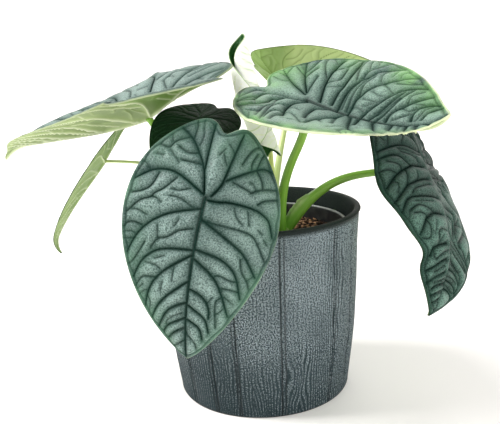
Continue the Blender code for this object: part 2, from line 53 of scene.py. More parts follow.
# Decorative pot: its outline as (share of the height, radius), and the planks' widths, the first joint and each
# joint's thin companion groove in degrees
POT_HEIGHT = 0.136
POT_OUTLINE = [(0.0, 0.0634), (0.15, 0.0662), (0.35, 0.0696), (0.60, 0.0716), (0.85, 0.0727), (0.96, 0.0741)]
POT_LIP_RADIUS = 0.0752
POT_WALL = 0.0048
POT_FLOOR = 0.006
PLANKS_END = 0.980
PLANK_WIDTHS = [21.5, 16.0, 25.5, 34.0, 19.0, 24.0, 17.0, 29.0,
                14.0, 22.0, 31.0, 18.0, 26.0, 15.0, 22.0, 26.0]
COMPANIONS = [2.0, -1.8, -1.6, 2.3, 1.8, -1.7, 2.1, -2.0, 1.6, 2.2, -1.9, 1.7, -2.1, 1.8, 2.0, -1.8]
FIRST_GROOVE = -143.0
GROOVE_HALF_WIDTH = 0.0011
GROOVE_DEPTH = 0.0010
COMPANION_HALF_WIDTH = 0.0010
COMPANION_DEPTH = 0.00060
GRAIN_PITCH = 0.0024
GRAIN_DEPTH = 0.00035
GRAINY_ANGLE, GRAINY_SPREAD = -38.0, 20.0
KNOT_HALF_WIDTH, KNOT_HALF_HEIGHT = 0.007, 0.014
POT_COLUMNS = 900
WALL_RINGS = 84

# Nursery pot, soil and stem
GAP = 0.0003
NURSERY_RIM_Z = 0.1245
NURSERY_RIM_RADIUS = 0.0655
NURSERY_FOOT_RADIUS = 0.0525
NURSERY_WALL = 0.0012
NURSERY_BEAD = 0.0012
SOIL_Z = 0.1165
SOIL_PLAY = 0.0006
SOIL_SIDES = 120
SOIL_STEPS = 26
BARK_CHIPS = 1500
CHIP_RINGS, CHIP_SIDES = 5, 6
CHIP_SIZES, CHIP_ASPECTS, CHIP_FLATNESS = (0.0011, 0.0026), (0.45, 0.8), (0.25, 0.5)
STEM_CENTRE = (0.010, 0.000)
STEM_RADIUS = 0.0155
STEM_FOOT_Z = 0.094
STEM_SHOULDER_Z = 0.118
STEM_TOP_Z = 0.1235
STEM_RINGS, STEM_SIDES = 30, 96

# Stalks: their feet on the stem and their seats under the blades, and then, in shares of a stalk's length but for
# the wings' height, the sheath with its wings and the bevelled end
FOOT_RING = 0.0108
FOOT_CORE = 0.0037
STRAIGHT_FOOT = 0.007
STALK_SIDES, STALK_SECTIONS = 24, 64
SEAT_REACH = 0.05
SEAT_DEPTH = 0.0004
SHEATH_REACH = 0.16
WING_AT, WING_SPREAD = 0.17, 0.10
WING_HEIGHT = 0.0040
BEVEL_FROM, BEVEL_LENGTH = 0.93, 0.07

# Flat outline and bends of a blade, in shares of its size and in degrees; the thicknesses are in metres
BLADE_THICKNESS = 0.0009
MARGIN_THICKNESS = 0.0005
MIDRIB_SOFTNESS = 0.05
KINK_SOFTNESS = 0.06
HOOK_FROM = 0.8
RIPPLE_RATE = 11.0
FOLD_STEPS = 16
SPINE_STEPS = 116
NORMAL_STEP = 0.004
SIDE_RADIUS = 0.465
TIP_SHOULDER = 35.5
TIP_SHARPNESS = 1.1
LOBE_RADIUS = 0.035
LOBE_ANGLE = 166.0
LOBE_SPREAD = 22.0
SINUS_DEPTH = 0.09
SINUS_SPREAD = 9.0
FAN_VEINS = [166.0, 140.0, 112.0, 82.0]
FIRST_LATERAL = 0.06
LAST_LATERAL = 0.76
LATERAL_END = 64.0
LATERAL_SWEEP = 1.5
VEIN_FORWARD = 0.25
VEIN_OUTWARD = 0.62
RIM_SAMPLES = 2000
ROW_CROWDING = 0.92

# Relief of a blade: distances and line widths in shares of its size, heights on the underside in metres
NEAR_RISE, FAR_RISE = 0.014, 0.060
# Creases of the long and the short veins: depth and width of the sharp part, depth and reach of the soft one
LONG_CREASE, SHORT_CREASE = (0.50, 0.011, 0.22, 0.035), (0.40, 0.010, 0.15, 0.030)
GUTTER_IN, GUTTER_SWAY, GUTTER_RATE = 0.024, 0.004, 40
MAIN_LINE, LONG_LINE, SHORT_LINE, GUTTER_LINE, LOBE_LINE = 0.0092, 0.0054, 0.0045, 0.0055, 0.02
MIDRIB_CHANNEL = 0.008
RIB_HEIGHT, LONG_RIB_HEIGHT, KEEL_HEIGHT = 0.0009, 0.00025, 0.0016

# Veins as drawn on the flat blade, in thousandths of its size: for each drawing the main, long and short veins,
# each for the left and the right half. A vein's numbers are its points, along the midrib from the petiole to the
# tip and outward from it, in turn
VEIN_DRAWINGS = {
    "plain": [
        [[(-18, 28, -84, 62, -138, 72, -434, 100), (-126, 82, -274, 252, -290, 286, -294, 354), (12, 14, 8, 74,
          -10, 120, -20, 298, 12, 374, 42, 404, 138, 438), (124, 8, 246, 240, 304, 302, 426, 374), (296, 10, 322, 148,
          382, 232, 452, 270, 572, 298), (350, 10, 426, 118, 510, 176, 688, 236), (526, 10, 544, 58, 590, 106,
          650, 126, 696, 124), (622, 10, 696, 110, 792, 128), (710, 10, 756, 80, 840, 94)],
         [(-20, 20, -104, 178, -120, 260, -102, 350, -30, 440), (66, 10, 114, 180, 184, 290, 272, 362, 386, 402),
          (304, 14, 320, 168, 350, 242, 414, 310, 526, 348), (330, 6, 426, 142, 514, 220, 598, 252, 690, 262),
          (484, 6, 502, 32, 634, 174, 760, 220), (610, 6, 640, 68, 686, 128, 802, 174), (704, 6, 778, 120, 828, 140),
          (768, 6, 820, 80, 864, 108), (-15, 12, -76, 26, -174, 56, -276, 128, -334, 178, -380, 256), (-152, 48,
          -450, 74)]],
        [[(132, 14, 138, 282, 176, 338, 306, 412), (-252, 142, -366, 172, -406, 210), (-250, 208, -284, 194,
          -358, 214), (-270, 240, -350, 244, -382, 260), (-256, 240, -202, 290, -158, 304), (-104, 238, -152, 294,
          -188, 396), (-130, 122, -110, 236), (-50, 300, -90, 332, -126, 418), (312, 266, 394, 282, 448, 326,
          502, 342), (430, 134, 424, 164, 452, 216, 460, 272), (506, 180, 504, 216, 526, 286), (560, 194, 576, 162,
          598, 154, 756, 168), (794, 2, 856, 54, 900, 62)],
         [(-88, 304, -4, 330, 32, 378, 52, 434), (-82, 194, 2, 260, 28, 306, 56, 316, 82, 382, 162, 442), (184, 30,
          206, 112, 262, 174, 272, 232, 340, 264), (306, 300, 428, 356, 454, 384), (500, 212, 502, 278, 522, 302,
          580, 330), (852, 6, 918, 78), (-448, 184, -400, 166, -330, 166), (-330, 194, -284, 272, -238, 284,
          -250, 346), (-246, 116, -230, 168, -260, 234), (-184, 76, -186, 194), (218, 338, 208, 396, 220, 424,
          250, 448)]],
        [[(-168, 220, -166, 238, -132, 268), (-306, 30, -258, 10), (-274, 30, -250, 38, -214, 60), (-338, 40,
          -300, 82), (12, 168, 64, 186, 100, 234), (16, 256, 94, 274), (166, 384, 194, 408), (110, 338, 128, 364),
          (444, 326, 412, 366), (556, 204, 600, 260), (670, 164, 632, 206), (594, 114, 556, 138)],
         [(-36, 98, -8, 164, -12, 208), (68, 54, 26, 150, 28, 206), (76, 250, 56, 276, 52, 308), (158, 320, 138, 378,
          144, 410), (270, 372, 264, 404, 278, 440), (300, 368, 314, 438), (200, 242, 270, 230), (146, 122, 188, 142),
          (422, 284, 424, 218, 444, 188), (366, 170, 390, 226), (584, 250, 590, 276, 634, 312), (552, 282, 604, 324),
          (620, 252, 638, 232, 664, 226, 712, 234), (418, 104, 498, 104), (514, 162, 572, 170), (674, 24, 734, 116,
          774, 124), (-458, 146, -338, 108, -292, 120), (-232, 280, -168, 206), (-192, 350, -192, 310), (-134, 430,
          -130, 398, -98, 366), (-326, 296, -284, 282)]]],
    "pleated": [
        [[(-63, 54, -256, 113, -437, 211), (-71, 73, -198, 189, -304, 324), (73, 30, -36, 207, -71, 392, -63, 414),
          (153, 41, 115, 148, 121, 170, 71, 369, 41, 446), (221, 0, 161, 164, 175, 259, 233, 316, 247, 359, 421, 387),
          (297, 8, 265, 111, 267, 150, 303, 241, 473, 318, 589, 318), (387, 0, 389, 91, 495, 229, 611, 247, 706, 241),
          (441, 0, 475, 117, 519, 196, 553, 225), (487, 4, 529, 152, 567, 205, 617, 237), (549, 18, 537, 71, 573, 117,
          672, 168, 782, 182), (704, 41, 690, 83, 708, 115, 734, 130, 812, 134, 876, 118), (772, 49, 786, 87, 812, 97,
          902, 97)],
         [(23, 4, -27, 67, -28, 135, 87, 284), (283, 20, 231, 156, 229, 209, 245, 273), (165, 8, 117, 38, 103, 63,
          137, 154, 181, 205), (385, 2, 421, 89), (-4, 6, -120, 53, -141, 71, -142, 117, -179, 148, -132, 215,
          -170, 307, -184, 383), (-136, 39, -227, 72, -280, 115, -270, 188, -230, 237, -257, 352)]],
        [[(-70, 81, -104, 218), (-47, 226, -147, 325, -183, 393), (-228, 232, -205, 264, -221, 369), (-190, 191,
          -164, 286), (-204, 198, -335, 257), (-355, 168, -354, 223, -371, 286), (-13, 186, 49, 219, 57, 235,
          25, 328), (-46, 309, 1, 330, 17, 355, 13, 438), (155, 261, 95, 350, 77, 395, 75, 456), (183, 282, 175, 357,
          261, 411, 281, 440, 311, 448), (233, 32, 179, 162, 185, 241), (271, 26, 207, 176, 221, 284), (265, 152,
          235, 221, 237, 259, 259, 306), (617, 144, 617, 188, 634, 205, 706, 219), (734, 41, 752, 95, 772, 115,
          812, 122), (581, 36, 676, 89), (455, 275, 650, 273), (473, 61, 503, 134, 543, 186)],
         [(-28, 135, -81, 173, -78, 203, -62, 248, 67, 427), (27, 217, 1, 235, -7, 274, 9, 324, 57, 395), (71, 271,
          57, 290, 65, 330, 107, 395), (43, 227, 61, 205, 101, 211, 263, 304), (277, 69, 355, 186), (-75, 200,
          -93, 230, -85, 269, -51, 322, -42, 360, -55, 376), (-271, 205, -281, 237, -265, 340), (-101, 275,
          -161, 392), (-312, 88, -347, 109, -369, 141, -320, 292)]],
        [[(-339, 154, -445, 155), (-285, 113, -312, 95, -426, 105), (25, 154, 59, 160, 105, 190), (-80, 362,
          -138, 403), (-258, 249, -362, 307), (169, 363, 137, 405, 131, 438, 143, 464), (203, 405, 183, 431,
          185, 450), (375, 259, 471, 209), (331, 275, 309, 308, 305, 340, 321, 355), (331, 199, 387, 178, 417, 182),
          (309, 138, 405, 138), (523, 290, 599, 278), (599, 122, 660, 99, 702, 122), (445, 318, 443, 344, 495, 363),
          (385, 320, 395, 357), (680, 146, 740, 140), (275, 65, 301, 79, 371, 59), (353, 95, 391, 128)],
         [(1, 180, 9, 144, 35, 130, 73, 140), (131, 328, 185, 310), (-51, 322, 7, 403), (-55, 376, -88, 404),
          (-225, 243, -160, 282), (231, 156, 309, 213), (-147, 125, -89, 200), (-42, 411, 17, 458)]]],
    "arched": [
        [[(-332, 138, -342, 190, -274, 204, -160, 183), (-79, 68, -98, 161, -157, 292, -185, 393), (39, 69, -37, 355),
          (87, 106, 99, 165, 203, 185, 219, 364, 265, 378, 349, 342), (263, 71, 257, 177, 283, 232, 419, 144,
          469, 132, 501, 171), (329, 49, 325, 122, 357, 142, 409, 128, 463, 90), (463, 31, 489, 57, 603, 323),
          (553, 0, 625, 254), (617, 0, 656, 155, 686, 187, 718, 189), (698, 0, 680, 53, 686, 122, 710, 173, 742, 187,
          780, 173), (762, 0, 746, 94, 758, 146, 784, 163), (816, 10, 798, 75, 804, 126, 832, 146)],
         [(-95, 32, -86, 113, -102, 222, -19, 439), (41, 87, 57, 199, 49, 228, 5, 267, -7, 299, -1, 356, 37, 462),
          (57, 199, 125, 336, 241, 425), (129, 81, 153, 175, 197, 252, 193, 269, 363, 411), (259, 49, 259, 108,
          289, 267, 309, 305, 345, 334, 433, 382), (371, 59, 379, 132, 413, 183, 459, 226, 575, 273), (557, 51,
          615, 165, 694, 183), (654, 43, 680, 83, 798, 179), (730, 35, 792, 100, 860, 142), (792, 12, 832, 69,
          870, 94), (842, 16, 904, 81), (880, 0, 932, 45)]],
        [[(-364, 150, -343, 226, -280, 238), (-19, 93, -161, 361, -175, 438), (155, 63, 163, 157), (73, 57, 59, 142,
          59, 258), (347, 205, 339, 277, 373, 303, 475, 175), (373, 303, 419, 350, 483, 334, 549, 275), (527, 0,
          539, 102, 621, 279), (495, 191, 557, 267, 591, 289), (652, 12, 654, 81, 670, 128), (734, 4, 718, 102,
          728, 140), (796, 0, 780, 47, 790, 136)],
         [(-56, 70, -44, 131, -58, 225, -50, 272), (11, 128, -17, 138, -35, 262), (123, 340, 101, 391, 119, 452),
          (97, 291, 59, 303, 45, 393), (99, 267, 135, 262, 213, 281), (175, 94, 219, 216, 237, 246, 269, 266),
          (381, 118, 355, 195, 351, 266, 413, 328), (425, 207, 411, 222, 409, 260, 423, 301), (453, 216, 483, 193,
          559, 193, 589, 218, 593, 254), (473, 43, 479, 108, 517, 130, 553, 126), (597, 39, 634, 92, 694, 138),
          (702, 61, 774, 124), (766, 26, 830, 94)]],
        [[(-117, 157, -121, 201, -78, 174), (37, 112, 23, 224), (295, 277, 355, 197, 403, 177), (381, 311, 455, 206,
          493, 181), (511, 307, 597, 342), (281, 106, 283, 167, 313, 193), (363, 59, 383, 94, 421, 92)],
         [(-184, 176, -151, 185, -110, 218), (191, 364, 203, 346, 241, 348, 275, 366), (103, 179, 129, 175, 161, 191),
          (305, 134, 327, 264), (-147, 315, -74, 344), (621, 171, 690, 151), (451, 138, 539, 165), (828, 157,
          838, 140), (525, 90, 583, 126), (371, 279, 411, 330, 477, 352)]]],
}
# Part of a half blade, along the midrib, that a drawing fills with the plain veins: (drawing, half): (from, to)
FILLED_IN = {("pleated", 1): (0.40, 1.0), ("arched", 0): (-0.6, 0.12), ("arched", 1): (-0.6, -0.10)}
NOT_FILLED = (2.0, 2.0)
DRAWN_BREADTH = 0.944
VEIN_SWAY = 0.035
SWAY_IN_FULL = 0.12
SWAY_CELL = 0.17
VEIN_SIGHT = 0.12
POINT_BATCHES = 60
ROLL_AT = [-0.4, 0.0, 0.1, 0.3, 0.5, 0.7, 0.9]
OUTER_ROLL = [420.0, 400.0, 390.0, 392.0, 410.0, 445.0, 540.0]
INNER_ROLL = [480.0, 520.0, 530.0, 540.0, 565.0, 625.0, 760.0]

# What holds for a leaf unless it says otherwise. Up to laterals these are the CAD's values. fine is the grid's
# density. swap gives each half the other half's veins, loose is their sway, line their breadth and drawing their
# table. crisp below 1 makes the pillows fuller. rim is the breadth of the pale margin on each half, and wings
# the height of the sheath
PLAIN_LEAF = dict(
    nicks=[], growth=(0.0, 0.0), hook=0.0, twist=0.0, wave=(0.0, 0.0), phase=0.0, laterals=6, fine=(270, 90), swap=0,
    loose=1.0, drawing="plain", line=1.0, crisp=1.0, rim=(0.0006, 0.0006), wings=1.0)

# The leaves, with the CAD's values save for the left upper blade's lobes, nicks and bend and the young one's rolls.
# quilt is the height of the pillows, finish the blade's look, and seed draws the veins' sway and the ragged sheath
LEAVES = {
    "front": dict(
        PLAIN_LEAF, size=0.104, lobes=1.02, breadth=0.944, at=(-0.030, -0.100, 0.166), heading=-127.0, pitch=-62.0,
        roll=-19.0, fold=(-37.5, 3.5), growth=(-0.15, 0.0), curl=(-7.5, 13.5), bend=(-39.5, -4.0, -34.5, 0.0),
        hook=-2.5, twist=5.0, foot=(-125.0, FOOT_RING), lean=(-125.0, 62.0), arrive=(-112.0, 10.0),
        reach=(0.045, 0.030), radius=(0.0034, 0.0026), quilt=0.0036, finish="silver", seed=3, loose=0.0, line=0.85),
    "right_upper": dict(
        PLAIN_LEAF, size=0.117, lobes=0.845, breadth=0.956, at=(0.036, -0.040, 0.213), heading=-47.0, pitch=-15.0,
        roll=19.5, fold=(18.5, 11.5), growth=(1.45, 0.0), curl=(-36.0, 19.0), bend=(8.0, 28.0, -3.5, 0.0),
        hook=25.0, twist=3.5, foot=(-52.0, FOOT_RING), lean=(-40.0, 88.0), arrive=(-91.0, 66.0),
        reach=(0.050, 0.037), radius=(0.0034, 0.0030), quilt=0.0042, finish="green", seed=11, loose=0.0,
        drawing="pleated", line=0.52, crisp=0.75, rim=(0.0007, 0.0040)),
    "right_hanging": dict(
        PLAIN_LEAF, size=0.115, lobes=0.98, breadth=0.960, nicks=[(1, 24.0, 7.0, -0.20), (1, 13.0, 5.0, 0.10)],
        at=(0.121, 0.000, 0.159), heading=-73.5, pitch=-45.5, roll=-62.5, fold=(25.0, -25.5), growth=(0.0, -0.06),
        curl=(-29.5, -65.5), bend=(6.0, -69.5, 12.5, 0.0), hook=23.5, twist=3.5, wave=(0.008, 0.02), phase=114.0,
        foot=(0.0, 0.0100), lean=(2.0, 51.0), arrive=(-1.5, 3.0), reach=(0.048, 0.050), radius=(0.0042, 0.0026),
        quilt=0.0044, finish="dark", seed=7, loose=0.0, drawing="arched", line=0.60, crisp=0.80),
    "left_upper": dict(
        PLAIN_LEAF, size=0.120, lobes=1.14, breadth=0.970, nicks=[(0, 5.0, 6.0, -0.45), (1, 5.0, 6.0, -0.45)],
        at=(-0.072, -0.018, 0.207), heading=165.0, pitch=-19.5, roll=-9.5, fold=(38.5, 53.5), growth=(-0.36, -1.11),
        curl=(-38.0, -113.0), bend=(39.5, -31.5, -42.0, 18.0), hook=-37.0, twist=4.5, foot=(180.0, FOOT_RING),
        lean=(180.0, 50.0), arrive=(195.0, 60.0), reach=(0.055, 0.030), radius=(0.0032, 0.0023), quilt=0.0030,
        fine=(260, 86), finish="pewter", seed=5, swap=1, line=0.50, crisp=0.75),
    "left_lower": dict(
        PLAIN_LEAF, size=0.080, lobes=0.94, breadth=0.949, at=(-0.113, 0.020, 0.172), heading=202.0, pitch=-51.5,
        roll=13.5, fold=(12.5, 14.0), growth=(-0.10, 0.0), curl=(-2.0, -3.5), bend=(14.5, -31.0, 4.0, 0.0),
        hook=-53.0, laterals=5, foot=(125.0, FOOT_RING), lean=(160.0, 52.5), arrive=(169.0, 0.5),
        reach=(0.042, 0.053), radius=(0.0026, 0.0011), quilt=0.0013, fine=(150, 52), finish="slim", seed=13,
        line=0.62, crisp=0.75),
    "middle": dict(
        PLAIN_LEAF, size=0.059, lobes=1.0, breadth=0.955, at=(-0.035, -0.028, 0.205), heading=-117.5, pitch=-11.0,
        roll=-11.0, fold=(-4.0, 3.0), curl=(-5.0, 2.0), bend=(-62.0, -1.0, 3.0, 0.0), twist=-2.0, laterals=5,
        foot=(200.0, FOOT_CORE), lean=(-150.0, 72.0), arrive=(-150.0, 55.0), reach=(0.040, 0.030),
        radius=(0.0022, 0.0018), quilt=0.0011, fine=(150, 52), finish="shaded", seed=17, swap=1, wings=0.3),
    "back": dict(
        PLAIN_LEAF, size=0.087, lobes=0.965, breadth=0.959, at=(0.032, 0.070, 0.219), heading=-6.0, pitch=-13.0,
        roll=-32.5, fold=(14.0, 18.0), growth=(0.04, 0.0), curl=(4.0, 5.0), bend=(34.0, 2.0, 90.0, 0.0), twist=-14.0,
        laterals=5, foot=(80.0, FOOT_RING), lean=(77.0, 75.5), arrive=(78.0, 55.5), reach=(0.044, 0.030),
        radius=(0.0030, 0.0022), quilt=0.0018, fine=(170, 58), finish="olive", seed=19, line=0.45),
    "young": dict(
        PLAIN_LEAF, size=0.065, lobes=0.85, breadth=1.30, nicks=[(0, 145.0, 35.0, -0.35), (1, 140.0, 40.0, -0.35)],
        at=(0.008, 0.0115, 0.1965), heading=0.0, pitch=103.0, roll=65.0, fold=(0.0, 0.0),
        curl=(OUTER_ROLL, INNER_ROLL), bend=(-6.0, 0.0, 0.0, 0.0), twist=-20.0, laterals=4, foot=(70.0, FOOT_CORE),
        lean=(80.0, 74.0), arrive=(250.0, 35.0), reach=(0.035, 0.012), radius=(0.0022, 0.0018), quilt=0.0004,
        fine=(120, 70), finish="young", seed=23, wings=0.3),
}

# Looks of the blades. Every colour in the materials is red, green and blue in thousandths, in linear light
# In each look the valley shade, dusk and the colour at the lobes are painted shade, and the young leaf's emission is
# painted light
BLADE_LOOKS = {
    "silver": dict(
        valley_shade=(10, 40, 30), silver=(260, 376, 338), green=(125, 280, 165), vein=(6, 22, 15), margin=(330, 430, 290),
        under=(420, 560, 240), under_deep=(200, 340, 110), rib=(600, 700, 360), gloss=0.40, speckle=0.85, fringe=0.6,
        dusk=0.36, glint=0.50),
    "green": dict(
        valley_shade=(10, 38, 28), silver=(195, 310, 245), green=(190, 400, 130), vein=(2, 14, 9), margin=(800, 860, 560),
        under=(430, 540, 250), under_deep=(110, 190, 50), rib=(740, 800, 540), gloss=0.42, speckle=0.8, fringe=1.0,
        power=1.8, glint=0.45),
    "pewter": dict(
        valley_shade=(14, 40, 32), silver=(230, 318, 280), green=(110, 190, 125), vein=(4, 16, 11), margin=(580, 660, 400),
        under=(460, 560, 270), under_deep=(90, 155, 40), rib=(800, 850, 620), gloss=0.46, power=1.9),
    "slim": dict(
        valley_shade=(20, 60, 38), silver=(195, 310, 235), green=(110, 270, 80), vein=(4, 18, 11), margin=(110, 150, 80),
        under=(420, 550, 230), under_deep=(190, 330, 80), rib=(700, 780, 520), gloss=0.50, fringe=0.7),
    "dark": dict(
        valley_shade=(3, 16, 11), silver=(140, 268, 208), green=(40, 120, 80), vein=(1, 6, 4), margin=(40, 80, 45),
        gloss=0.36, speckle=0.95, dusk=0.88, power=1.9, glint=0.30),
    "shaded": dict(
        valley_shade=(3, 13, 5), silver=(12, 38, 16), green=(12, 60, 12), vein=(30, 70, 36), margin=(30, 80, 22),
        gloss=0.55, glint=0.08),
    "olive": dict(
        valley_shade=(20, 60, 38), silver=(175, 285, 215), green=(110, 270, 80), vein=(4, 18, 11), margin=(60, 110, 30),
        under=(430, 550, 220), under_deep=(490, 610, 280), rib=(140, 220, 60), gloss=0.50, fringe=0.7),
    "young": dict(
        valley_shade=(12, 70, 12), silver=(30, 120, 25), green=(20, 110, 15), vein=(10, 50, 10), margin=(460, 570, 340),
        under=(985, 985, 925), under_deep=(900, 920, 800), rib=(640, 710, 520), gloss=0.45, lobe_shade=(900, 930, 800),
        painted_glow=0.15),
}


def eased(share):
    """Smooth step: 3 x squared less 2 x cubed, with x held between 0 and 1."""
    share = np.clip(share, 0, 1)
    return share * share * (3 - 2 * share)


def bell(distance, width):
    """Bell curve: e to the minus square of distance over width."""
    return np.exp(-(distance / width) ** 2)


def unit(vectors):
    """Vectors brought to length 1."""
    return vectors / np.linalg.norm(vectors, axis=-1, keepdims=True)


def swung(first, second, angle):
    """Two coordinates turned by an angle in their plane."""
    return first * np.cos(angle) - second * np.sin(angle), first * np.sin(angle) + second * np.cos(angle)


def field(x, y, seed):
    """Smooth random field: seeded values on a lattice, eased from point to point."""
    table = np.random.default_rng(seed).random((61, 61))
    i, j = np.floor(x).astype(int), np.floor(y).astype(int)
    u, v = eased(x - i), eased(y - j)
    near = table[i % 61, j % 61] * (1 - u) + table[(i + 1) % 61, j % 61] * u
    far = table[i % 61, (j + 1) % 61] * (1 - u) + table[(i + 1) % 61, (j + 1) % 61] * u
    return near * (1 - v) + far * v


def rounded(points, times):
    """A line with its corners cut a quarter at a time, as often as asked."""
    points = np.array(points)
    for _ in range(times):
        quarter = 0.75 * points[:-1] + 0.25 * points[1:]
        three = 0.25 * points[:-1] + 0.75 * points[1:]
        inner = np.stack([quarter, three], 1).reshape(-1, points.shape[1])
        points = np.concatenate([points[:1], inner, points[-1:]])
    return points


def packed(*channels):
    """Four channels, each a number or values of one shape, as a row of four for each point."""
    return np.stack(np.broadcast_arrays(*channels), -1).reshape(-1, 4)


def circle(sides):
    """Angles spaced evenly round a circle."""
    return np.arange(sides) * 2 * math.pi / sides


def around_z(radius, turn, z, centre=(0.0, 0.0)):
    """Points at a radius, a turn and a height about an upright axis, ring by ring."""
    x, y = centre[0] + radius * np.cos(turn), centre[1] + radius * np.sin(turn)
    return np.stack([x, y, np.broadcast_to(z, x.shape)], -1).reshape(-1, 3)


def turned(profile, sides):
    """Points of a profile of (radius, height) turned about Z, ring by ring."""
    radius, z = np.transpose(profile)[:, :, None]
    return around_z(radius, circle(sides), z)


def tube_faces(rings, sides):
    """A closed tube's quads and its two caps, and each corner's ring and its column, counted on past the seam."""
    ring, column = (part.ravel() for part in np.meshgrid(np.arange(rings - 1), np.arange(sides), indexing="ij"))
    rows = np.stack([ring, ring, ring + 1, ring + 1], 1)
    columns = np.stack([column, column + 1, column + 1, column], 1)
    around = np.arange(sides)
    faces = [rows * sides + columns % sides, np.stack([around[::-1], (rings - 1) * sides + around])]
    rows = np.concatenate([rows.ravel(), np.zeros(sides, int), np.full(sides, rings - 1)])
    return faces, rows, np.concatenate([columns.ravel(), around[::-1], around])


def build(name, points, faces, finish):
    """An object in the scene from points and blocks of faces with equal corners."""
    corners = np.concatenate([block.ravel() for block in faces]).astype(np.int32)
    sizes = np.concatenate([np.full(len(block), block.shape[1]) for block in faces])
    mesh = bpy.data.meshes.new(name)
    mesh.vertices.add(len(points))
    mesh.vertices.foreach_set("co", np.asarray(points, np.float32).ravel())
    mesh.loops.add(len(corners))
    mesh.loops.foreach_set("vertex_index", corners)
    mesh.polygons.add(len(sizes))
    mesh.polygons.foreach_set("loop_start", np.concatenate([[0], np.cumsum(sizes)[:-1]]).astype(np.int32))
    mesh.update(calc_edges=True)
    mesh.materials.append(finish)
    made = bpy.data.objects.new(name, mesh)
    bpy.context.collection.objects.link(made)
    return made


def add_piece(name, points, faces, finish, node, uv=None, marks=None):
    """One finished piece of the part, with UV for each corner and colour marks for each point."""
    piece = build(name, points, faces, finish)
    mesh = piece.data
    if uv is not None:
        mesh.uv_layers.new(name="UVMap").data.foreach_set("uv", np.asarray(uv, np.float32).ravel())
    for label, values in (marks or {}).items():
        attribute = mesh.attributes.new(label, "FLOAT_COLOR", "POINT")
        attribute.data.foreach_set("color", np.asarray(values, np.float32).ravel())
    mesh.validate()
    mesh.shade_smooth()
    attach(piece, "root")
    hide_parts(node)
    return piece


# Materials


def wire(tree, sockets, values):
    """Set or link input sockets by name or number."""
    for key, value in values.items():
        if isinstance(value, bpy.types.NodeSocket):
            tree.links.new(value, sockets[key])
        else:
            sockets[key].default_value = value


def put(tree, kind, inputs=None, **settings):
    """A shader node with its settings, and its inputs set or linked."""
    made = tree.nodes.new("ShaderNode" + kind)
    for key, value in settings.items():
        setattr(made, key, value)
    wire(tree, made.inputs, inputs or {})
    return made


def mixed(tree, share, first, second):
    """Colour between two colours by a share."""
    colours = [value if isinstance(value, bpy.types.NodeSocket) else (*(part / 1000 for part in value), 1.0)
               for value in (first, second)]
    return put(tree, "Mix", {0: share, 6: colours[0], 7: colours[1]}, data_type="RGBA", clamp_factor=True).outputs[2]


def worked(tree, operation, first, second=0.0, clamp=False):
    """Arithmetic on two values."""
    return put(tree, "Math", {0: first, 1: second}, operation=operation, use_clamp=clamp).outputs[0]


def times(tree, first, second, clamp=False):
    """Product of two values."""
    return worked(tree, "MULTIPLY", first, second, clamp)


def ranged(tree, value, low, high, to_low=0.0, to_high=1.0):
    """A value carried from one range to another, held at its ends."""
    return put(tree, "MapRange", {"Value": value, "From Min": low, "From Max": high,
                                  "To Min": to_low, "To Max": to_high}).outputs["Result"]


def noise(tree, place, scale, detail=2.0, roughness=0.5):
    """Smooth noise about one half."""
    return put(tree, "TexNoise", {"Vector": place, "Scale": scale, "Detail": detail,
                                  "Roughness": roughness}).outputs["Fac"]


def channels(tree, label):
    """Red, green, blue and alpha of a piece's colour marks."""
    read = put(tree, "Attribute", attribute_name=label).outputs
    return *put(tree, "SeparateColor", {0: read["Color"]}).outputs, read["Alpha"]


def new_group(name, inputs, outputs):
    """An empty shader group that takes a place and some numbers and gives numbers."""
    group = bpy.data.node_groups.new(name, "ShaderNodeTree")
    group.interface.new_socket("Place", in_out="INPUT", socket_type="NodeSocketVector")
    for label, value in inputs.items():
        group.interface.new_socket(label, in_out="INPUT", socket_type="NodeSocketFloat").default_value = value
    for label in outputs:
        group.interface.new_socket(label, in_out="OUTPUT", socket_type="NodeSocketFloat")
    return group, group.nodes.new("NodeGroupInput").outputs, group.nodes.new("NodeGroupOutput").inputs


def make_pebbles():
    """Leaf skin: rounded pebbles a millimetre or so across, finer grit on them, and broad clouds."""
    group, source, sink = new_group("pebbled skin", {}, ["Tops", "Clouds"])
    place = source["Place"]
    cells = put(group, "TexVoronoi", {"Vector": place, "Scale": 1400.0}, feature="SMOOTH_F1")
    tops = times(group, ranged(group, cells.outputs["Distance"], 0.10, 0.70, 1.0, 0.0), 0.60)
    grit = times(group, noise(group, place, 2600.0), 0.50)
    wire(group, sink, {"Tops": worked(group, "ADD", tops, grit, True),
                       "Clouds": ranged(group, noise(group, place, 38.0, 3.0), 0.35, 0.65)})
    return group


def make_streaks():
    """Long streaks along V with fine flecks, for stalks, the stem and the grained pot."""
    group, source, sink = new_group("streaks", {"Across": 900.0, "Along": 30.0}, ["Streaks", "Flecks"])
    scale = put(group, "CombineXYZ", {"X": source["Across"], "Y": source["Along"], "Z": 1.0})
    spread = put(group, "VectorMath", {0: source["Place"], 1: scale.outputs[0]}, operation="MULTIPLY").outputs[0]
    wire(group, sink, {"Streaks": ranged(group, noise(group, spread, 1.0, 4.0), 0.30, 0.70),
                       "Flecks": ranged(group, noise(group, source["Place"], 1500.0), 0.36, 0.64)})
    return group


def new_material(name, roughness, coat=0.0, specular=0.5):
    """A material, its tree and its shader with a plain finish to start from."""
    material = bpy.data.materials.new(name)
    material.use_nodes = True
    tree = material.node_tree
    shader = tree.nodes["Principled BSDF"].inputs
    wire(tree, shader, {"Roughness": roughness, "Coat Weight": coat, "Coat Roughness": 0.35,
                        "Specular IOR Level": specular})
    return material, tree, shader


def bumped(tree, shader, height, depth, strength=1.0):
    """Bump of a given depth in metres from a height between 0 and 1."""
    bump = put(tree, "Bump", {"Height": height, "Distance": depth, "Strength": strength})
    wire(tree, shader, {"Normal": bump.outputs["Normal"]})


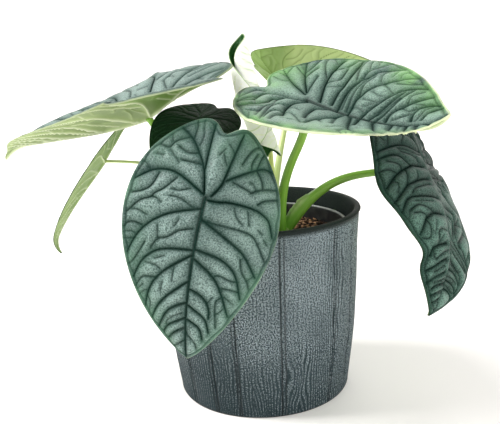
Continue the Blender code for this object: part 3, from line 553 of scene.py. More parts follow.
def make_blade_finish(name, valley_shade, silver, green, vein, margin, gloss, under=(300, 440, 170),
                      under_deep=(150, 270, 80), rib=(480, 600, 280), lobe_shade=(140, 270, 50), speckle=0.55, fringe=0.35,
                      dusk=0.0, power=1.6, glint=0.34, painted_glow=0.0):
    """Pebbled upper side with dark veins and a pale margin; smooth pale underside with ribs.

    The mesh's marks give vein lines, pillow height, margin and underside; its place gives the share
    of the way from midrib to margin, the share from base to tip and the ribs of the underside.
    The upper side goes from the valley shade to silver with a power of the pillow height, as painted
    shade in the valleys by the veins and painted light on the pillows' tops. Speckle is the pebbles'
    contrast, dusk painted shade that darkens the base and fringe the share of green towards the margin;
    the upper side is also darker by the midrib and lighter towards the tip. On the underside under_deep
    comes in with the pillow height, as painted shade between the ribs in most looks, and the colour at
    the lobes is painted shade on them at the base. Gloss is the roughness, glint the specular level on
    the pillows, and the emission a faint painted light that stands in for light through the thin leaf.
    """
    material, tree, shader = new_material("melo_" + name, gloss, 0.0, 0.22)
    lines, pillow, edge, below = channels(tree, "marks")
    outward, tipward, ribs, _ = channels(tree, "place")
    skin = put(tree, "Group", {"Place": put(tree, "UVMap").outputs[0]}, node_tree=PEBBLES).outputs
    tops, clouds = skin["Tops"], skin["Clouds"]
    sheen = ranged(tree, tops, 0.20, 0.90, 1.0 - speckle, 1.0 + speckle)
    # Darker by the midrib, painted shade towards the base as deep as dusk, and lighter towards the tip
    for place, *stretch in ((outward, 0.02, 0.42, 0.62, 1.08), (tipward, 0.35, 0.75, 1.0 - dusk, 1.0),
                            (tipward, 0.64, 0.92, 1.0, 1.45)):
        sheen = times(tree, sheen, ranged(tree, place, *stretch))
    # Painted shade in the valleys by the veins and painted light on the pillows' tops
    raised = worked(tree, "ADD", 0.06, worked(tree, "POWER", pillow, power))
    top = mixed(tree, times(tree, sheen, raised, True), valley_shade, silver)
    leafy = times(tree, worked(tree, "POWER", outward, 3.0), times(tree, clouds, fringe), True)
    top = mixed(tree, leafy, top, green)
    top = mixed(tree, lines, top, vein)
    top = mixed(tree, times(tree, edge, ranged(tree, clouds, 0.0, 1.0, 0.35, 0.9)), top, margin)
    fall = mixed(tree, times(tree, clouds, 0.3), under, under_deep)
    # Painted shade on the underside: under_deep between the ribs with the pillow height in most looks, and the colour
    # at the lobes towards the base
    for share, colour in ((ranged(tree, pillow, 0.15, 0.95, 0.0, 0.75), under_deep),
                          (ranged(tree, tipward, 0.42, 0.49, 0.65, 0.0), lobe_shade), (ribs, rib), (edge, margin)):
        fall = mixed(tree, share, fall, colour)
    colour = mixed(tree, below, top, fall)
    shiny = times(tree, ranged(tree, pillow, 0.05, 0.75, 0.02, glint), ranged(tree, below, 0.0, 1.0, 1.0, 0.5))
    wire(tree, shader, {"Base Color": colour, "Specular IOR Level": shiny,
                        "Roughness": worked(tree, "ADD", gloss - 0.08, times(tree, tops, 0.16))})
    # Painted light: a faint emission that stands in for light through the thin young leaf
    if painted_glow:
        wire(tree, shader, {"Emission Color": colour, "Emission Strength": painted_glow})
    bumped(tree, shader, times(tree, tops, ranged(tree, below, 0.0, 1.0, 1.0, 0.25)), 0.00055, 0.9)
    return material


def make_stalk_finish(name, green, pale, foot):
    """Smooth stalk: lighter streaks and flecks along it, and a paler foot where marks say so."""
    material, tree, shader = new_material(name, 0.42, 0.15)
    footward, papery, _, _ = channels(tree, "marks")
    streaks = put(tree, "Group", {"Place": put(tree, "UVMap").outputs[0], "Across": 700.0, "Along": 22.0},
                  node_tree=STREAKS).outputs
    colour = mixed(tree, times(tree, streaks["Streaks"], 0.55), green, pale)
    colour = mixed(tree, times(tree, streaks["Flecks"], 0.18), colour, pale)
    colour = mixed(tree, footward, colour, foot)
    wire(tree, shader, {"Base Color": mixed(tree, papery, colour, (800, 800, 520))})
    bumped(tree, shader, streaks["Streaks"], 0.00015, 0.6)
    return material


def make_slate():
    """Cast slate-coloured pot: pale grit over dark furrows of grain, dark joints, a smooth near-black lip."""
    material, tree, shader = new_material("slate_pot", 0.60)
    grain, groove, smooth, _ = channels(tree, "marks")
    where = put(tree, "UVMap").outputs[0]
    streaks = put(tree, "Group", {"Place": where, "Across": 1500.0, "Along": 480.0}, node_tree=STREAKS).outputs
    speck = ranged(tree, noise(tree, where, 1200.0, 1.0), 0.43, 0.59)
    rough = worked(tree, "ADD", times(tree, speck, 0.62), times(tree, streaks["Streaks"], 0.38))
    light = times(tree, rough, worked(tree, "SUBTRACT", 1.0, times(tree, grain, 0.80)))
    sideways, _, upward = put(tree, "SeparateXYZ", {0: put(tree, "TexCoord").outputs["Object"]}).outputs
    # Painted shade: darker towards the foot
    light = times(tree, light, ranged(tree, upward, 0.0, 0.11, 0.50, 1.05))
    # Painted light and shade: darker on the left, in the big leaf's shade, and lighter on the right
    light = times(tree, light, ranged(tree, sideways, -0.03, 0.06, 0.84, 1.42))
    colour = mixed(tree, ranged(tree, light, 0.25, 0.58), (6, 23, 29), (315, 380, 398))
    clouds = ranged(tree, noise(tree, where, 26.0), 0.42, 0.70, 0.0, 0.45)
    dusk = mixed(tree, times(tree, speck, 0.25), (10, 15, 13), (40, 50, 47))
    for share, shade in ((clouds, (40, 64, 72)), (groove, (6, 10, 12)), (smooth, dusk)):
        colour = mixed(tree, share, colour, shade)
    wire(tree, shader, {"Base Color": colour, "Specular IOR Level": ranged(tree, smooth, 0.0, 1.0, 0.32, 0.07)})
    bumped(tree, shader, times(tree, rough, ranged(tree, smooth, 0.0, 1.0, 1.0, 0.10)), 0.00065)
    return material


def make_plastic():
    """Thin black nursery plastic with fine scratches, a dusty bloom and a painted pale highlight along the rim."""
    material, tree, shader = new_material("black_plastic", 0.38)
    where = put(tree, "TexCoord").outputs["Object"]
    dust = noise(tree, where, 160.0, 4.0)
    upward = put(tree, "SeparateXYZ", {0: where}).outputs["Z"]
    # Painted highlight: a pale line along the rim
    rim = ranged(tree, upward, NURSERY_RIM_Z - 0.0012, NURSERY_RIM_Z - 0.0002)
    black = mixed(tree, times(tree, ranged(tree, dust, 0.50, 0.75), 0.5), (8, 9, 10), (45, 43, 40))
    wire(tree, shader, {"Base Color": mixed(tree, rim, black, (230, 240, 235)),
                        "Roughness": ranged(tree, dust, 0.3, 0.8, 0.30, 0.55)})
    bumped(tree, shader, dust, 0.0001)
    return material


def make_bark():
    """Bark and coco chips: each chip's shade from its marks, with fibres and painted shade on the bed between the
    chips.
    """
    material, tree, shader = new_material("bark_soil", 0.85, 0.0, 0.25)
    shade, gap_shade, _, _ = channels(tree, "marks")
    fibre = noise(tree, put(tree, "TexCoord").outputs["Object"], 900.0, 4.0, 0.6)
    colour = mixed(tree, ranged(tree, shade, 0.25, 0.95), (22, 8, 4), (560, 310, 180))
    colour = mixed(tree, ranged(tree, fibre, 0.40, 0.70, 0.0, 0.55), colour, (30, 13, 8))
    # Painted shade: the bed between the chips is darkened
    wire(tree, shader, {"Base Color": mixed(tree, gap_shade, colour, (12, 6, 4))})
    bumped(tree, shader, fibre, 0.0004)
    return material


# Blades


def outline_radius(angle):
    """Radius of the flat blade's edge at an angle in degrees from the tip (0) to the sinus (180)."""
    radius = SIDE_RADIUS + (1 - SIDE_RADIUS) * np.exp(-(angle / TIP_SHOULDER) ** TIP_SHARPNESS)
    return radius + LOBE_RADIUS * bell(angle - LOBE_ANGLE, LOBE_SPREAD) - SINUS_DEPTH * bell(180 - angle, SINUS_SPREAD)


def rim_point(leaf, half, end):
    """Point on the flat half blade's margin at an angle, with the leaf's own lobes, breadth and nicks."""
    turn = np.radians(end)
    radius = outline_radius(end) * (1 + (leaf["lobes"] - 1) * np.clip(-np.cos(turn), 0, 1))
    out = radius * np.sin(turn) * leaf["breadth"]
    for nick_half, angle, spread, share in leaf["nicks"]:
        if nick_half == half:
            out = out * (1 + share * bell(end - angle, spread))
    return np.stack([radius * np.cos(turn), out], -1)


def flat_half(leaf, half, t, s):
    """Flat half blade: t counts the veins from the tip to the sinus, s runs from midrib to margin.

    Each vein is a quadratic curve from its start on the midrib to its end on the outline, and
    the starts and end angles are carried evenly from one vein to the next.
    """
    starts = np.linspace(LAST_LATERAL, FIRST_LATERAL, leaf["laterals"])
    ends = LATERAL_END * (1 - starts) ** LATERAL_SWEEP
    starts = np.concatenate([[1.0], starts, np.zeros(len(FAN_VEINS) + 1)])
    ends = np.concatenate([[0.0], ends, FAN_VEINS[::-1], [180.0]])
    order = np.append(np.arange(len(starts) - 1), len(starts) - 1.5)
    start, end = np.interp(t, order, starts), np.interp(t, order, ends)
    end_x, end_y = np.moveaxis(rim_point(leaf, half, end), -1, 0)
    control_x = start + VEIN_FORWARD * (end_x - start)
    x = (1 - s) ** 2 * start + 2 * s * (1 - s) * control_x + s ** 2 * end_x
    y = 2 * s * (1 - s) * VEIN_OUTWARD * end_y + s ** 2 * end_y
    return np.stack([x, y], -1)


def bent(x, y, leaf):
    """Flat blade to bent blade, in shares of its size: fold and curl across, then bend along."""
    side = np.where(y >= 0, 1.0, -1.0)
    across = np.abs(y)
    fold = np.radians(np.where(y >= 0, leaf["fold"][0], leaf["fold"][1]))
    left, right = (np.interp(x, ROLL_AT, np.broadcast_to(roll, len(ROLL_AT))) for roll in leaf["curl"])
    curl = np.radians(np.where(y >= 0, left, right))
    fold = fold * (1 + np.where(x > 0, leaf["growth"][0] * x, -leaf["growth"][1] * x))
    steps = across[..., None] * (np.arange(FOLD_STEPS) + 0.5) / FOLD_STEPS
    slope = fold[..., None] * (1 - np.exp(-steps / MIDRIB_SOFTNESS)) + curl[..., None] * steps
    wide = np.cos(slope).mean(-1) * across * side
    high = np.sin(slope).mean(-1) * across
    wave = np.where(y >= 0, leaf["wave"][0], leaf["wave"][1])
    high = high + wave * (2 * across) ** 2 * np.sin(RIPPLE_RATE * x + math.radians(leaf["phase"]))
    wide, high = swung(wide, high, math.radians(leaf["twist"]) * x)
    along = np.linspace(-1.0, 1.3, SPINE_STEPS)
    tip, tip_more, lobes, kink = np.radians(leaf["bend"])
    slope = np.where(along > 0, tip * along + tip_more * along ** 2,
                     lobes * along - kink * (1 - np.exp(np.minimum(along, 0) / KINK_SOFTNESS)))
    slope = slope + math.radians(leaf["hook"]) * np.clip(along - HOOK_FROM, 0, None) / (1 - HOOK_FROM)
    spine = []
    for rate in (np.cos(slope), np.sin(slope)):
        run = np.concatenate([[0], np.cumsum((rate[1:] + rate[:-1]) / 2 * (along[1] - along[0]))])
        spine.append(np.interp(x, along, run - np.interp(0, along, run)))
    lean = np.interp(x, along, slope)
    return np.stack([spine[0] - np.sin(lean) * high, wide, spine[1] + np.cos(lean) * high], -1)


def direction(angles):
    """Unit vector from a compass angle from +X and a rise, in degrees."""
    turn, rise = (math.radians(angle) for angle in angles)
    return np.array([math.cos(turn) * math.cos(rise), math.sin(turn) * math.cos(rise), math.sin(rise)])


def blade_surface(x, y, leaf):
    """Point and unit normal of the bent blade's middle surface, in metres."""
    heading, roll = math.radians(leaf["heading"]), math.radians(leaf["roll"])
    tip = direction((leaf["heading"], leaf["pitch"]))
    level = np.array([-math.sin(heading), math.cos(heading), 0.0])
    left = math.cos(roll) * level + math.sin(roll) * np.cross(tip, level)
    turn = np.stack([tip, left, np.cross(tip, left)], 1)
    e = NORMAL_STEP

    def spot(u, v):
        return bent(u, v, leaf) @ turn.T * leaf["size"] + np.array(leaf["at"])

    return spot(x, y), unit(np.cross(spot(x + e, y) - spot(x - e, y), spot(x, y + e) - spot(x, y - e)))


def drawn(vein):
    """Points of a vein from its numbers in the tables."""
    return np.reshape(vein, (-1, 2)) / 1000


def half_veins(leaf, half):
    """Main, long and short veins of a half blade.

    Where the leaf's own drawing shows none, the plain veins fill it. The lines have their corners
    cut, sway with a smooth random field, and widen and shorten with the leaf's own breadth and
    lobes as its outline does.
    """
    moved = []
    which = (half + leaf["swap"]) % 2
    low, high = FILLED_IN.get((leaf["drawing"], which), NOT_FILLED)
    for table, plain in zip(VEIN_DRAWINGS[leaf["drawing"]], VEIN_DRAWINGS["plain"]):
        moved.append([])
        filling = [vein for vein in plain[which] if low <= drawn(vein)[:, 0].mean() <= high]
        for vein in table[which] + filling:
            x, y = rounded(drawn(vein), 3).T
            sway = eased(y / SWAY_IN_FULL) * leaf["loose"] * VEIN_SWAY
            x, y = (old + sway * (field(x / SWAY_CELL + start, y / SWAY_CELL + 20, leaf["seed"] + half) - 0.5)
                    for old, start in ((x, 20), (y, 40)))
            back = np.clip(-x / np.maximum(np.hypot(x, y), 1e-6), 0, 1)
            grow = 1 + (leaf["lobes"] - 1) * back
            moved[-1].append(np.stack([x * grow, y * grow * leaf["breadth"] / DRAWN_BREADTH], 1))
    return moved


def away(points, lines):
    """Distance of each point to the nearest stretch of some lines in the plane, up to a reach."""
    start = np.concatenate([line[:-1] for line in lines])
    run = np.concatenate([np.diff(line, axis=0) for line in lines])
    low, high = np.minimum(start, start + run), np.maximum(start, start + run)
    found = []
    for part in np.array_split(points, POINT_BATCHES):
        near = ((low < part.max(0) + VEIN_SIGHT) & (high > part.min(0) - VEIN_SIGHT)).all(1)
        best = np.full(len(part), VEIN_SIGHT)
        if near.any():
            to = part[:, None, :] - start[near][None]
            along = run[near][None]
            share = np.clip((to * along).sum(-1) / np.maximum((along * along).sum(-1), 1e-12), 0, 1)
            best = np.minimum(best, np.sqrt((((to - share[..., None] * along) ** 2).sum(-1)).min(1)))
        found.append(best)
    return np.concatenate(found)


def half_blade(leaf, half):
    """Grid of a half blade, its distances to the main, long and short veins and the margin, and s."""
    columns, rows = leaf["fine"]
    panels = leaf["laterals"] + len(FAN_VEINS) + 1
    order = np.append(np.arange(panels), panels - 0.5)
    fine = np.linspace(0, panels - 0.5, RIM_SAMPLES)
    rim = flat_half(leaf, 0, fine, np.ones(RIM_SAMPLES))
    climb = np.concatenate([[0], np.cumsum(np.hypot(*np.diff(rim, axis=0).T))])
    counts = np.diff(np.round(np.interp(order, fine, climb) / climb[-1] * columns)).astype(int)
    t = np.concatenate([order[k] + (order[k + 1] - order[k]) * np.arange(n) / n for k, n in enumerate(counts)])
    t = np.append(t, order[-1])
    s = np.linspace(0, 1, rows + 1) ** ROW_CROWDING
    grid = flat_half(leaf, half, t[:, None], s[None, :])
    margin = flat_half(leaf, half, fine[::8], np.ones(len(fine[::8])))
    far = [away(grid.reshape(-1, 2), lines) for lines in (*half_veins(leaf, half), [margin])]
    return grid, np.stack(far), np.broadcast_to(s, grid.shape[:2])


def make_blade(name, leaf, finish):
    """Thin blade: pillows between sunken veins above, ribs below, and a wall round the margin.

    A pillow rises from each main vein as a steep and a slow exponential of the distance. The
    smaller veins and the gutter vein inside the margin cut softer creases into it, and it falls to
    nothing at the flat pale rim. Ribs on the underside are bell curves of the distance.
    """
    halves = [half_blade(leaf, half) for half in (0, 1)]
    columns, rows = halves[0][2].shape
    flat = np.concatenate([(halves[half][0] * [1, 1 - 2 * half]).reshape(-1, 2) for half in (0, 1)])
    far = np.concatenate([part[1] for part in halves], 1)
    outward = np.concatenate([part[2].ravel() for part in halves])
    # Points that fall together, as on the midrib, become one
    key = np.round(flat, 6) + 0.0
    key[np.abs(flat[:, 1]) < 1e-7, 1] = 0.0
    _, first, index = np.unique(key, axis=0, return_index=True, return_inverse=True)
    flat, far, outward = flat[first], far[:, first], outward[first]
    x, y = flat.T
    size = leaf["size"]
    spine = np.where(x > 0, np.abs(y), np.hypot(x, y))
    drawn_main, long, short, margin = far
    main = np.minimum(drawn_main, spine)
    gutter = np.abs(margin - GUTTER_IN - GUTTER_SWAY * np.sin(GUTTER_RATE * x))
    band = np.where(y >= 0, leaf["rim"][0], leaf["rim"][1] * np.clip(0.40 + 0.9 * x, 0.25, 1))
    pillow = 0.50 * (1 - np.exp(-main / NEAR_RISE)) + 0.50 * (1 - np.exp(-main / FAR_RISE))
    for near, (deep, width, shallow, reach) in ((long, LONG_CREASE), (short, SHORT_CREASE)):
        pillow = pillow * (1 - deep * np.exp(-(near / width) ** 1.2) - shallow * np.exp(-near / reach))
    pillow = pillow ** leaf["crisp"] * (1 - 0.5 * bell(gutter, 0.009))
    pillow = pillow * (1 - np.exp(-margin / (0.005 + 1.4 * band / size))) * (1 - 0.35 * outward ** 4)
    worn = (1 - 0.45 * outward) * leaf["line"]
    lines = bell(np.where(drawn_main < spine, main, 1.0), MAIN_LINE * worn)
    channel = MIDRIB_CHANNEL * np.clip(1 - 0.75 * x, 0.2, 1)
    ahead = bell(spine - channel, 0.60 * channel)
    lines = np.maximum(lines, np.where(x > 0, ahead, 0.9 * bell(spine, LOBE_LINE)))
    for strength, near, width in ((0.90, long, LONG_LINE * leaf["line"]), (0.75, short, SHORT_LINE * leaf["line"]),
                                  (0.45, gutter, GUTTER_LINE)):
        lines = np.maximum(lines, strength * bell(near, width))
    lines = lines * (1 - bell(margin, 0.010))
    edge = np.exp(-(margin * size / band) ** 4)
    ribs = RIB_HEIGHT * bell(main, 0.013 * worn) * (1 - 0.85 * outward)
    keel = KEEL_HEIGHT * np.clip(1 - 0.9 * x, 0, 1) * bell(spine, 0.020 - 0.012 * np.clip(x, 0, 1))
    keel = keel * np.exp(-np.clip(-x, 0, None) / 0.05)
    ribs = np.maximum(ribs, keel) * (size / 0.1) + LONG_RIB_HEIGHT * bell(long, 0.010) * (1 - outward)
    lift = leaf["quilt"] * pillow
    half_thick = (MARGIN_THICKNESS + (BLADE_THICKNESS - MARGIN_THICKNESS) * (1 - np.exp(-margin / 0.03))) / 2
    middle, normal = blade_surface(x, y, leaf)
    top = middle + normal * (lift + half_thick)[:, None]
    bottom = middle + normal * (0.9 * lift - half_thick - ribs)[:, None]
    faces = []
    for block, step in zip(index.reshape(2, columns, rows), (1, -1)):
        a, b, d, e = block[:-1, :-1], block[:-1, 1:], block[1:, :-1], block[1:, 1:]
        faces += [np.stack(three, -1).reshape(-1, 3)[:, ::step] for three in ((a, b, e), (a, e, d))]
    faces = np.concatenate(faces)
    faces = faces[(faces != np.roll(faces, 1, axis=1)).all(1)]
    # An edge without its opposite is free, and the wall round the margin stands on it
    count = len(flat)
    edges = np.concatenate([faces[:, [0, 1]], faces[:, [1, 2]], faces[:, [2, 0]]]).astype(np.int64)
    free = edges[~np.isin(edges[:, 0] * count + edges[:, 1], edges[:, 1] * count + edges[:, 0])]
    wall = np.stack([free[:, 1], free[:, 0], free[:, 0] + count, free[:, 1] + count], 1)
    blocks = [faces, faces[:, ::-1] + count, wall]
    uv = np.concatenate([flat, flat])[np.concatenate([block.ravel() for block in blocks])] * size
    marks = np.concatenate([packed(lines, pillow, edge, below) for below in (0.0, 1.0)])
    ribbed = np.clip(bell(main, 0.012 * worn) + 0.5 * bell(long, 0.006), 0, 1)
    place = packed(outward, 0.5 + 0.5 * x, ribbed, 1.0)
    return add_piece("leaf_" + name, np.concatenate([top, bottom]), blocks, finish, "blade_" + name,
                     uv, {"marks": marks, "place": np.concatenate([place, place])})


def make_stalk(name, leaf, finish):
    """Round stalk along one cubic curve, with a flared foot and a thin sheath wing on each side.

    The radius falls with the square of the way left to the blade. Near the foot the section grows
    towards the stem, and wings stand up from its upper side, highest a sixth of the way along. The
    last stretch is bevelled to lie flat against the blade.
    """
    away_from, arrive = direction(leaf["lean"]), direction(leaf["arrive"])
    turns, around = circle(STALK_SIDES), circle(8)
    upper = unit(blade_surface(SEAT_REACH * np.cos(around), SEAT_REACH * np.sin(around), leaf)[1].mean(0))
    turn, ring = math.radians(leaf["foot"][0]), leaf["foot"][1]
    foot = np.array([STEM_CENTRE[0] + ring * math.cos(turn), STEM_CENTRE[1] + ring * math.sin(turn), STEM_SHOULDER_Z])
    start = foot + away_from * STRAIGHT_FOOT
    end = np.array(leaf["at"]) - upper * SEAT_DEPTH
    controls = [start, start + away_from * leaf["reach"][0], end - arrive * leaf["reach"][1], end]
    s = np.linspace(0, 1, STALK_SECTIONS)[:, None]
    path = ((1 - s) ** 3 * controls[0] + 3 * s * (1 - s) ** 2 * controls[1]
            + 3 * s ** 2 * (1 - s) * controls[2] + s ** 3 * controls[3])
    path = np.concatenate([np.linspace(foot, start, 6)[:-1], path])
    shares = np.concatenate([np.zeros(5), s[:, 0]])
    length = np.concatenate([[0], np.cumsum(np.linalg.norm(np.diff(path, axis=0), axis=1))])
    ahead = unit(np.gradient(path, length, axis=0))
    ahead[-1] = arrive
    # The section keeps level, and where the path is steep it is carried on from the one before
    across = np.cross(ahead, [0.0, 0.0, 1.0])
    level = np.linalg.norm(across, axis=1, keepdims=True)
    across = across / np.maximum(level, 1e-6)
    for k in range(1, len(path)):
        if across[k] @ across[k - 1] < 0:
            across[k] = -across[k]
    for k in range(1, len(path)):
        held = across[k - 1] - ahead[k] * (across[k - 1] @ ahead[k])
        mix = across[k] * eased(level[k, 0] / 0.5) + unit(held)
        across[k] = unit(mix - ahead[k] * (mix @ ahead[k]))
    over = np.cross(across, ahead)
    wide, slim = leaf["radius"]
    radius = (slim + (wide - slim) * (1 - shares) ** 2) * (1 + 0.10 * bell(shares - 1, 0.02))
    inward = np.array([*STEM_CENTRE, 0.0]) - foot
    inward[2] = 0.0
    rim = np.cos(turns)[None, :, None] * across[:, None] + np.sin(turns)[None, :, None] * over[:, None]
    run = length / length[-1]
    swell = 1 + 0.35 * bell(run, SHEATH_REACH)[:, None] * (0.4 + 0.6 * np.clip(rim @ unit(inward), 0, 1))
    wing_at = bell(run - WING_AT, WING_SPREAD) * np.clip(length / 0.012, 0, 1)
    ragged = 0.75 + 0.5 * field(length / 0.0022, np.full(len(length), leaf["seed"] * 1.7), leaf["seed"])
    wing = bell(np.sin(turns) - 0.80, 0.10) * (np.sin(turns) > 0.2) * leaf["wings"]
    rise = wing_at[:, None] * ragged[:, None] * wing[None, :]
    offset = rim * (radius[:, None] * swell + WING_HEIGHT * rise)[..., None]
    cut = ahead + (upper - ahead) * np.clip((shares - BEVEL_FROM) / BEVEL_LENGTH, 0, 1)[:, None]
    fall = (offset * cut[:, None]).sum(-1) / (ahead * cut).sum(-1)[:, None]
    bevelled = offset - fall[..., None] * ahead[:, None]
    rings = path[:, None] + np.where((shares > BEVEL_FROM)[:, None, None], bevelled, offset)
    faces, rows, columns = tube_faces(len(path), STALK_SIDES)
    uv = np.stack([columns / STALK_SIDES * 2 * math.pi * wide, length[rows]], 1)
    marks = packed(0.8 * bell(length, 0.020)[:, None], np.clip(rise, 0, 1) ** 1.5, 0.0, 1.0)
    return add_piece("stalk_" + name, rings.reshape(-1, 3), faces, finish, "petiole_" + name, uv,
                     {"marks": marks})


# Pots, soil and stem


def pot_radius(z):
    """Outer radius of the decorative pot at a height: its outline, softened where it changes slope."""
    share, radius = np.transpose(POT_OUTLINE)
    soft = [np.interp(z + shift, share * POT_HEIGHT, radius) for shift in (-0.006, -0.003, 0.0, 0.003, 0.006)]
    return np.mean(soft, axis=0)


def plank_relief(angle, z):
    """Depth of the grooves and height of the grain at an angle in degrees and a height.

    Each joint is a V groove with a thin companion beside it. The grain is a wave across the plank,
    pushed sideways by a smooth random field and round a few knots.
    """
    starts = FIRST_GROOVE + np.concatenate([[0], np.cumsum(PLANK_WIDTHS)])
    compass = (angle - FIRST_GROOVE) % 360 + FIRST_GROOVE
    plank = np.clip(np.searchsorted(starts, compass, side="right") - 1, 0, len(PLANK_WIDTHS) - 1)
    degree = math.radians(1) * POT_LIP_RADIUS

    def v_groove(at, half_width):
        return np.clip(1 - np.abs((angle - at + 180) % 360 - 180) * degree / half_width, 0, 1)

    groove = np.zeros(np.broadcast(angle, z).shape)
    companion = groove.copy()
    for start, shift in zip(starts[:-1], COMPANIONS):
        drift = 0.25 * np.sin(z / 0.021 + start) + 0.12 * np.sin(z / 0.008 + 2 * start)
        groove = np.maximum(groove, v_groove(start + drift * 0.4, GROOVE_HALF_WIDTH))
        strength = 0.60 + 0.40 * field(z / 0.03, start + 0 * z, 5)
        companion = np.maximum(companion, strength * v_groove(start + shift + drift, COMPANION_HALF_WIDTH))
    arc = compass * degree
    push = 2.6 * field(arc / 0.016 + 7 * plank, z / 0.034, 8) + 0.8 * field(arc / 0.006, z / 0.011 + plank, 9)
    draw = np.random.default_rng(12)
    for centre in starts[:-1]:
        knot_arc = (centre + draw.uniform(5, 14)) * degree
        knot_z = draw.uniform(0.015, 0.115)
        apart = ((arc - knot_arc) / KNOT_HALF_WIDTH) ** 2 + ((z - knot_z) / KNOT_HALF_HEIGHT) ** 2
        push = push + 2.4 * np.exp(-apart) * np.sign(arc - knot_arc + 1e-9) * np.sqrt(np.minimum(apart, 1.0))
    wave = 0.5 + 0.5 * np.sin(2 * math.pi * (arc / GRAIN_PITCH + push))
    mask = eased((field(arc / 0.018 + 3 * plank, z / 0.045, 10) - 0.30) / 0.4)
    mask = 0.12 + 0.35 * mask + 0.75 * bell(compass - GRAINY_ANGLE, GRAINY_SPREAD) + 0.70 * eased((0.062 - z) / 0.040)
    return groove, companion, wave ** 2 * np.clip(mask, 0, 1)


def make_slate_pot(finish):
    """Pot turned about Z: radius is the outline less grooves plus grain, as a function of angle and height."""
    angle = np.arange(POT_COLUMNS) * 360.0 / POT_COLUMNS - 180.0
    end = PLANKS_END * POT_HEIGHT
    wall_z = np.linspace(0.0015, end, WALL_RINGS)
    lip = POT_LIP_RADIUS
    top = rounded([(pot_radius(end), end), (lip - 0.0001, end + 0.0012), (lip, POT_HEIGHT - 0.0014),
                   (lip - 0.0006, POT_HEIGHT), (lip - 0.0040, POT_HEIGHT), (lip - 0.0052, POT_HEIGHT - 0.0022),
                   (lip - 0.0072, POT_HEIGHT - 0.011)], 2)[1:]
    inside_z = np.array([0.100, 0.060, 0.020, POT_FLOOR])
    inside = np.stack([pot_radius(inside_z) - POT_WALL, inside_z], 1)
    foot = np.array([(pot_radius(0.0) - 0.0016, 0.0), (pot_radius(0.0) - 0.0005, 0.0004)])
    profile = np.concatenate([foot, np.stack([pot_radius(wall_z), wall_z], 1), top, inside])
    radius, z = profile.T[:, :, None]
    groove, companion, grain = plank_relief(angle[None, :], z)
    on_wall = np.zeros((len(profile), 1))
    on_wall[2:2 + WALL_RINGS, 0] = eased((end - wall_z) / 0.0035) * eased((wall_z + 0.001) / 0.003)
    radius = radius - on_wall * (GROOVE_DEPTH * groove + COMPANION_DEPTH * companion + GRAIN_DEPTH * grain)
    faces, rows, around = tube_faces(len(profile), POT_COLUMNS)
    climb = np.concatenate([[0], np.cumsum(np.linalg.norm(np.diff(profile, axis=0), axis=1))])
    uv = np.stack([around / POT_COLUMNS * 2 * math.pi * lip, climb[rows]], 1)
    marks = packed(grain * on_wall, np.clip(groove ** 1.1 + companion, 0, 1) * on_wall, 1 - on_wall, 1.0)
    return add_piece("plank_pot", around_z(radius, np.radians(angle), z), faces, finish, "pot", uv,
                     {"marks": marks})


def nursery_radius(z):
    """Outer radius of the nursery pot at a height: a straight taper."""
    foot = POT_FLOOR + GAP
    share = (z - foot) / (NURSERY_RIM_Z - foot)
    return NURSERY_FOOT_RADIUS + (NURSERY_RIM_RADIUS - NURSERY_BEAD - NURSERY_FOOT_RADIUS) * share


def make_nursery(finish):
    """Thin nursery pot: a tapered wall with a rolled bead, its corners rounded off."""
    foot = POT_FLOOR + GAP
    bead = NURSERY_RIM_Z - 0.004
    outer = [(NURSERY_FOOT_RADIUS - 0.002, foot), (NURSERY_FOOT_RADIUS, foot + 0.001), (nursery_radius(bead), bead),
             (NURSERY_RIM_RADIUS, bead + 0.0006), (NURSERY_RIM_RADIUS, NURSERY_RIM_Z - 0.0003),
             (NURSERY_RIM_RADIUS - 0.0008, NURSERY_RIM_Z)]
    inner = [(nursery_radius(z) - NURSERY_WALL, z) for z in (NURSERY_RIM_Z, SOIL_Z, foot + NURSERY_WALL)]
    profile = rounded(outer + inner, 2)
    return add_piece("nursery_shell", turned(profile, SOIL_SIDES), tube_faces(len(profile), SOIL_SIDES)[0], finish,
                     "nursery_pot")


def bark_height(x, y):
    """Height of the lumpy bed of bark."""
    return SOIL_Z - 0.0022 + 0.0030 * (field(x / 0.009 + 20, y / 0.009 + 20, 31) - 0.5) \
        + 0.0018 * (field(x / 0.0032 + 40, y / 0.0032 + 40, 32) - 0.5)


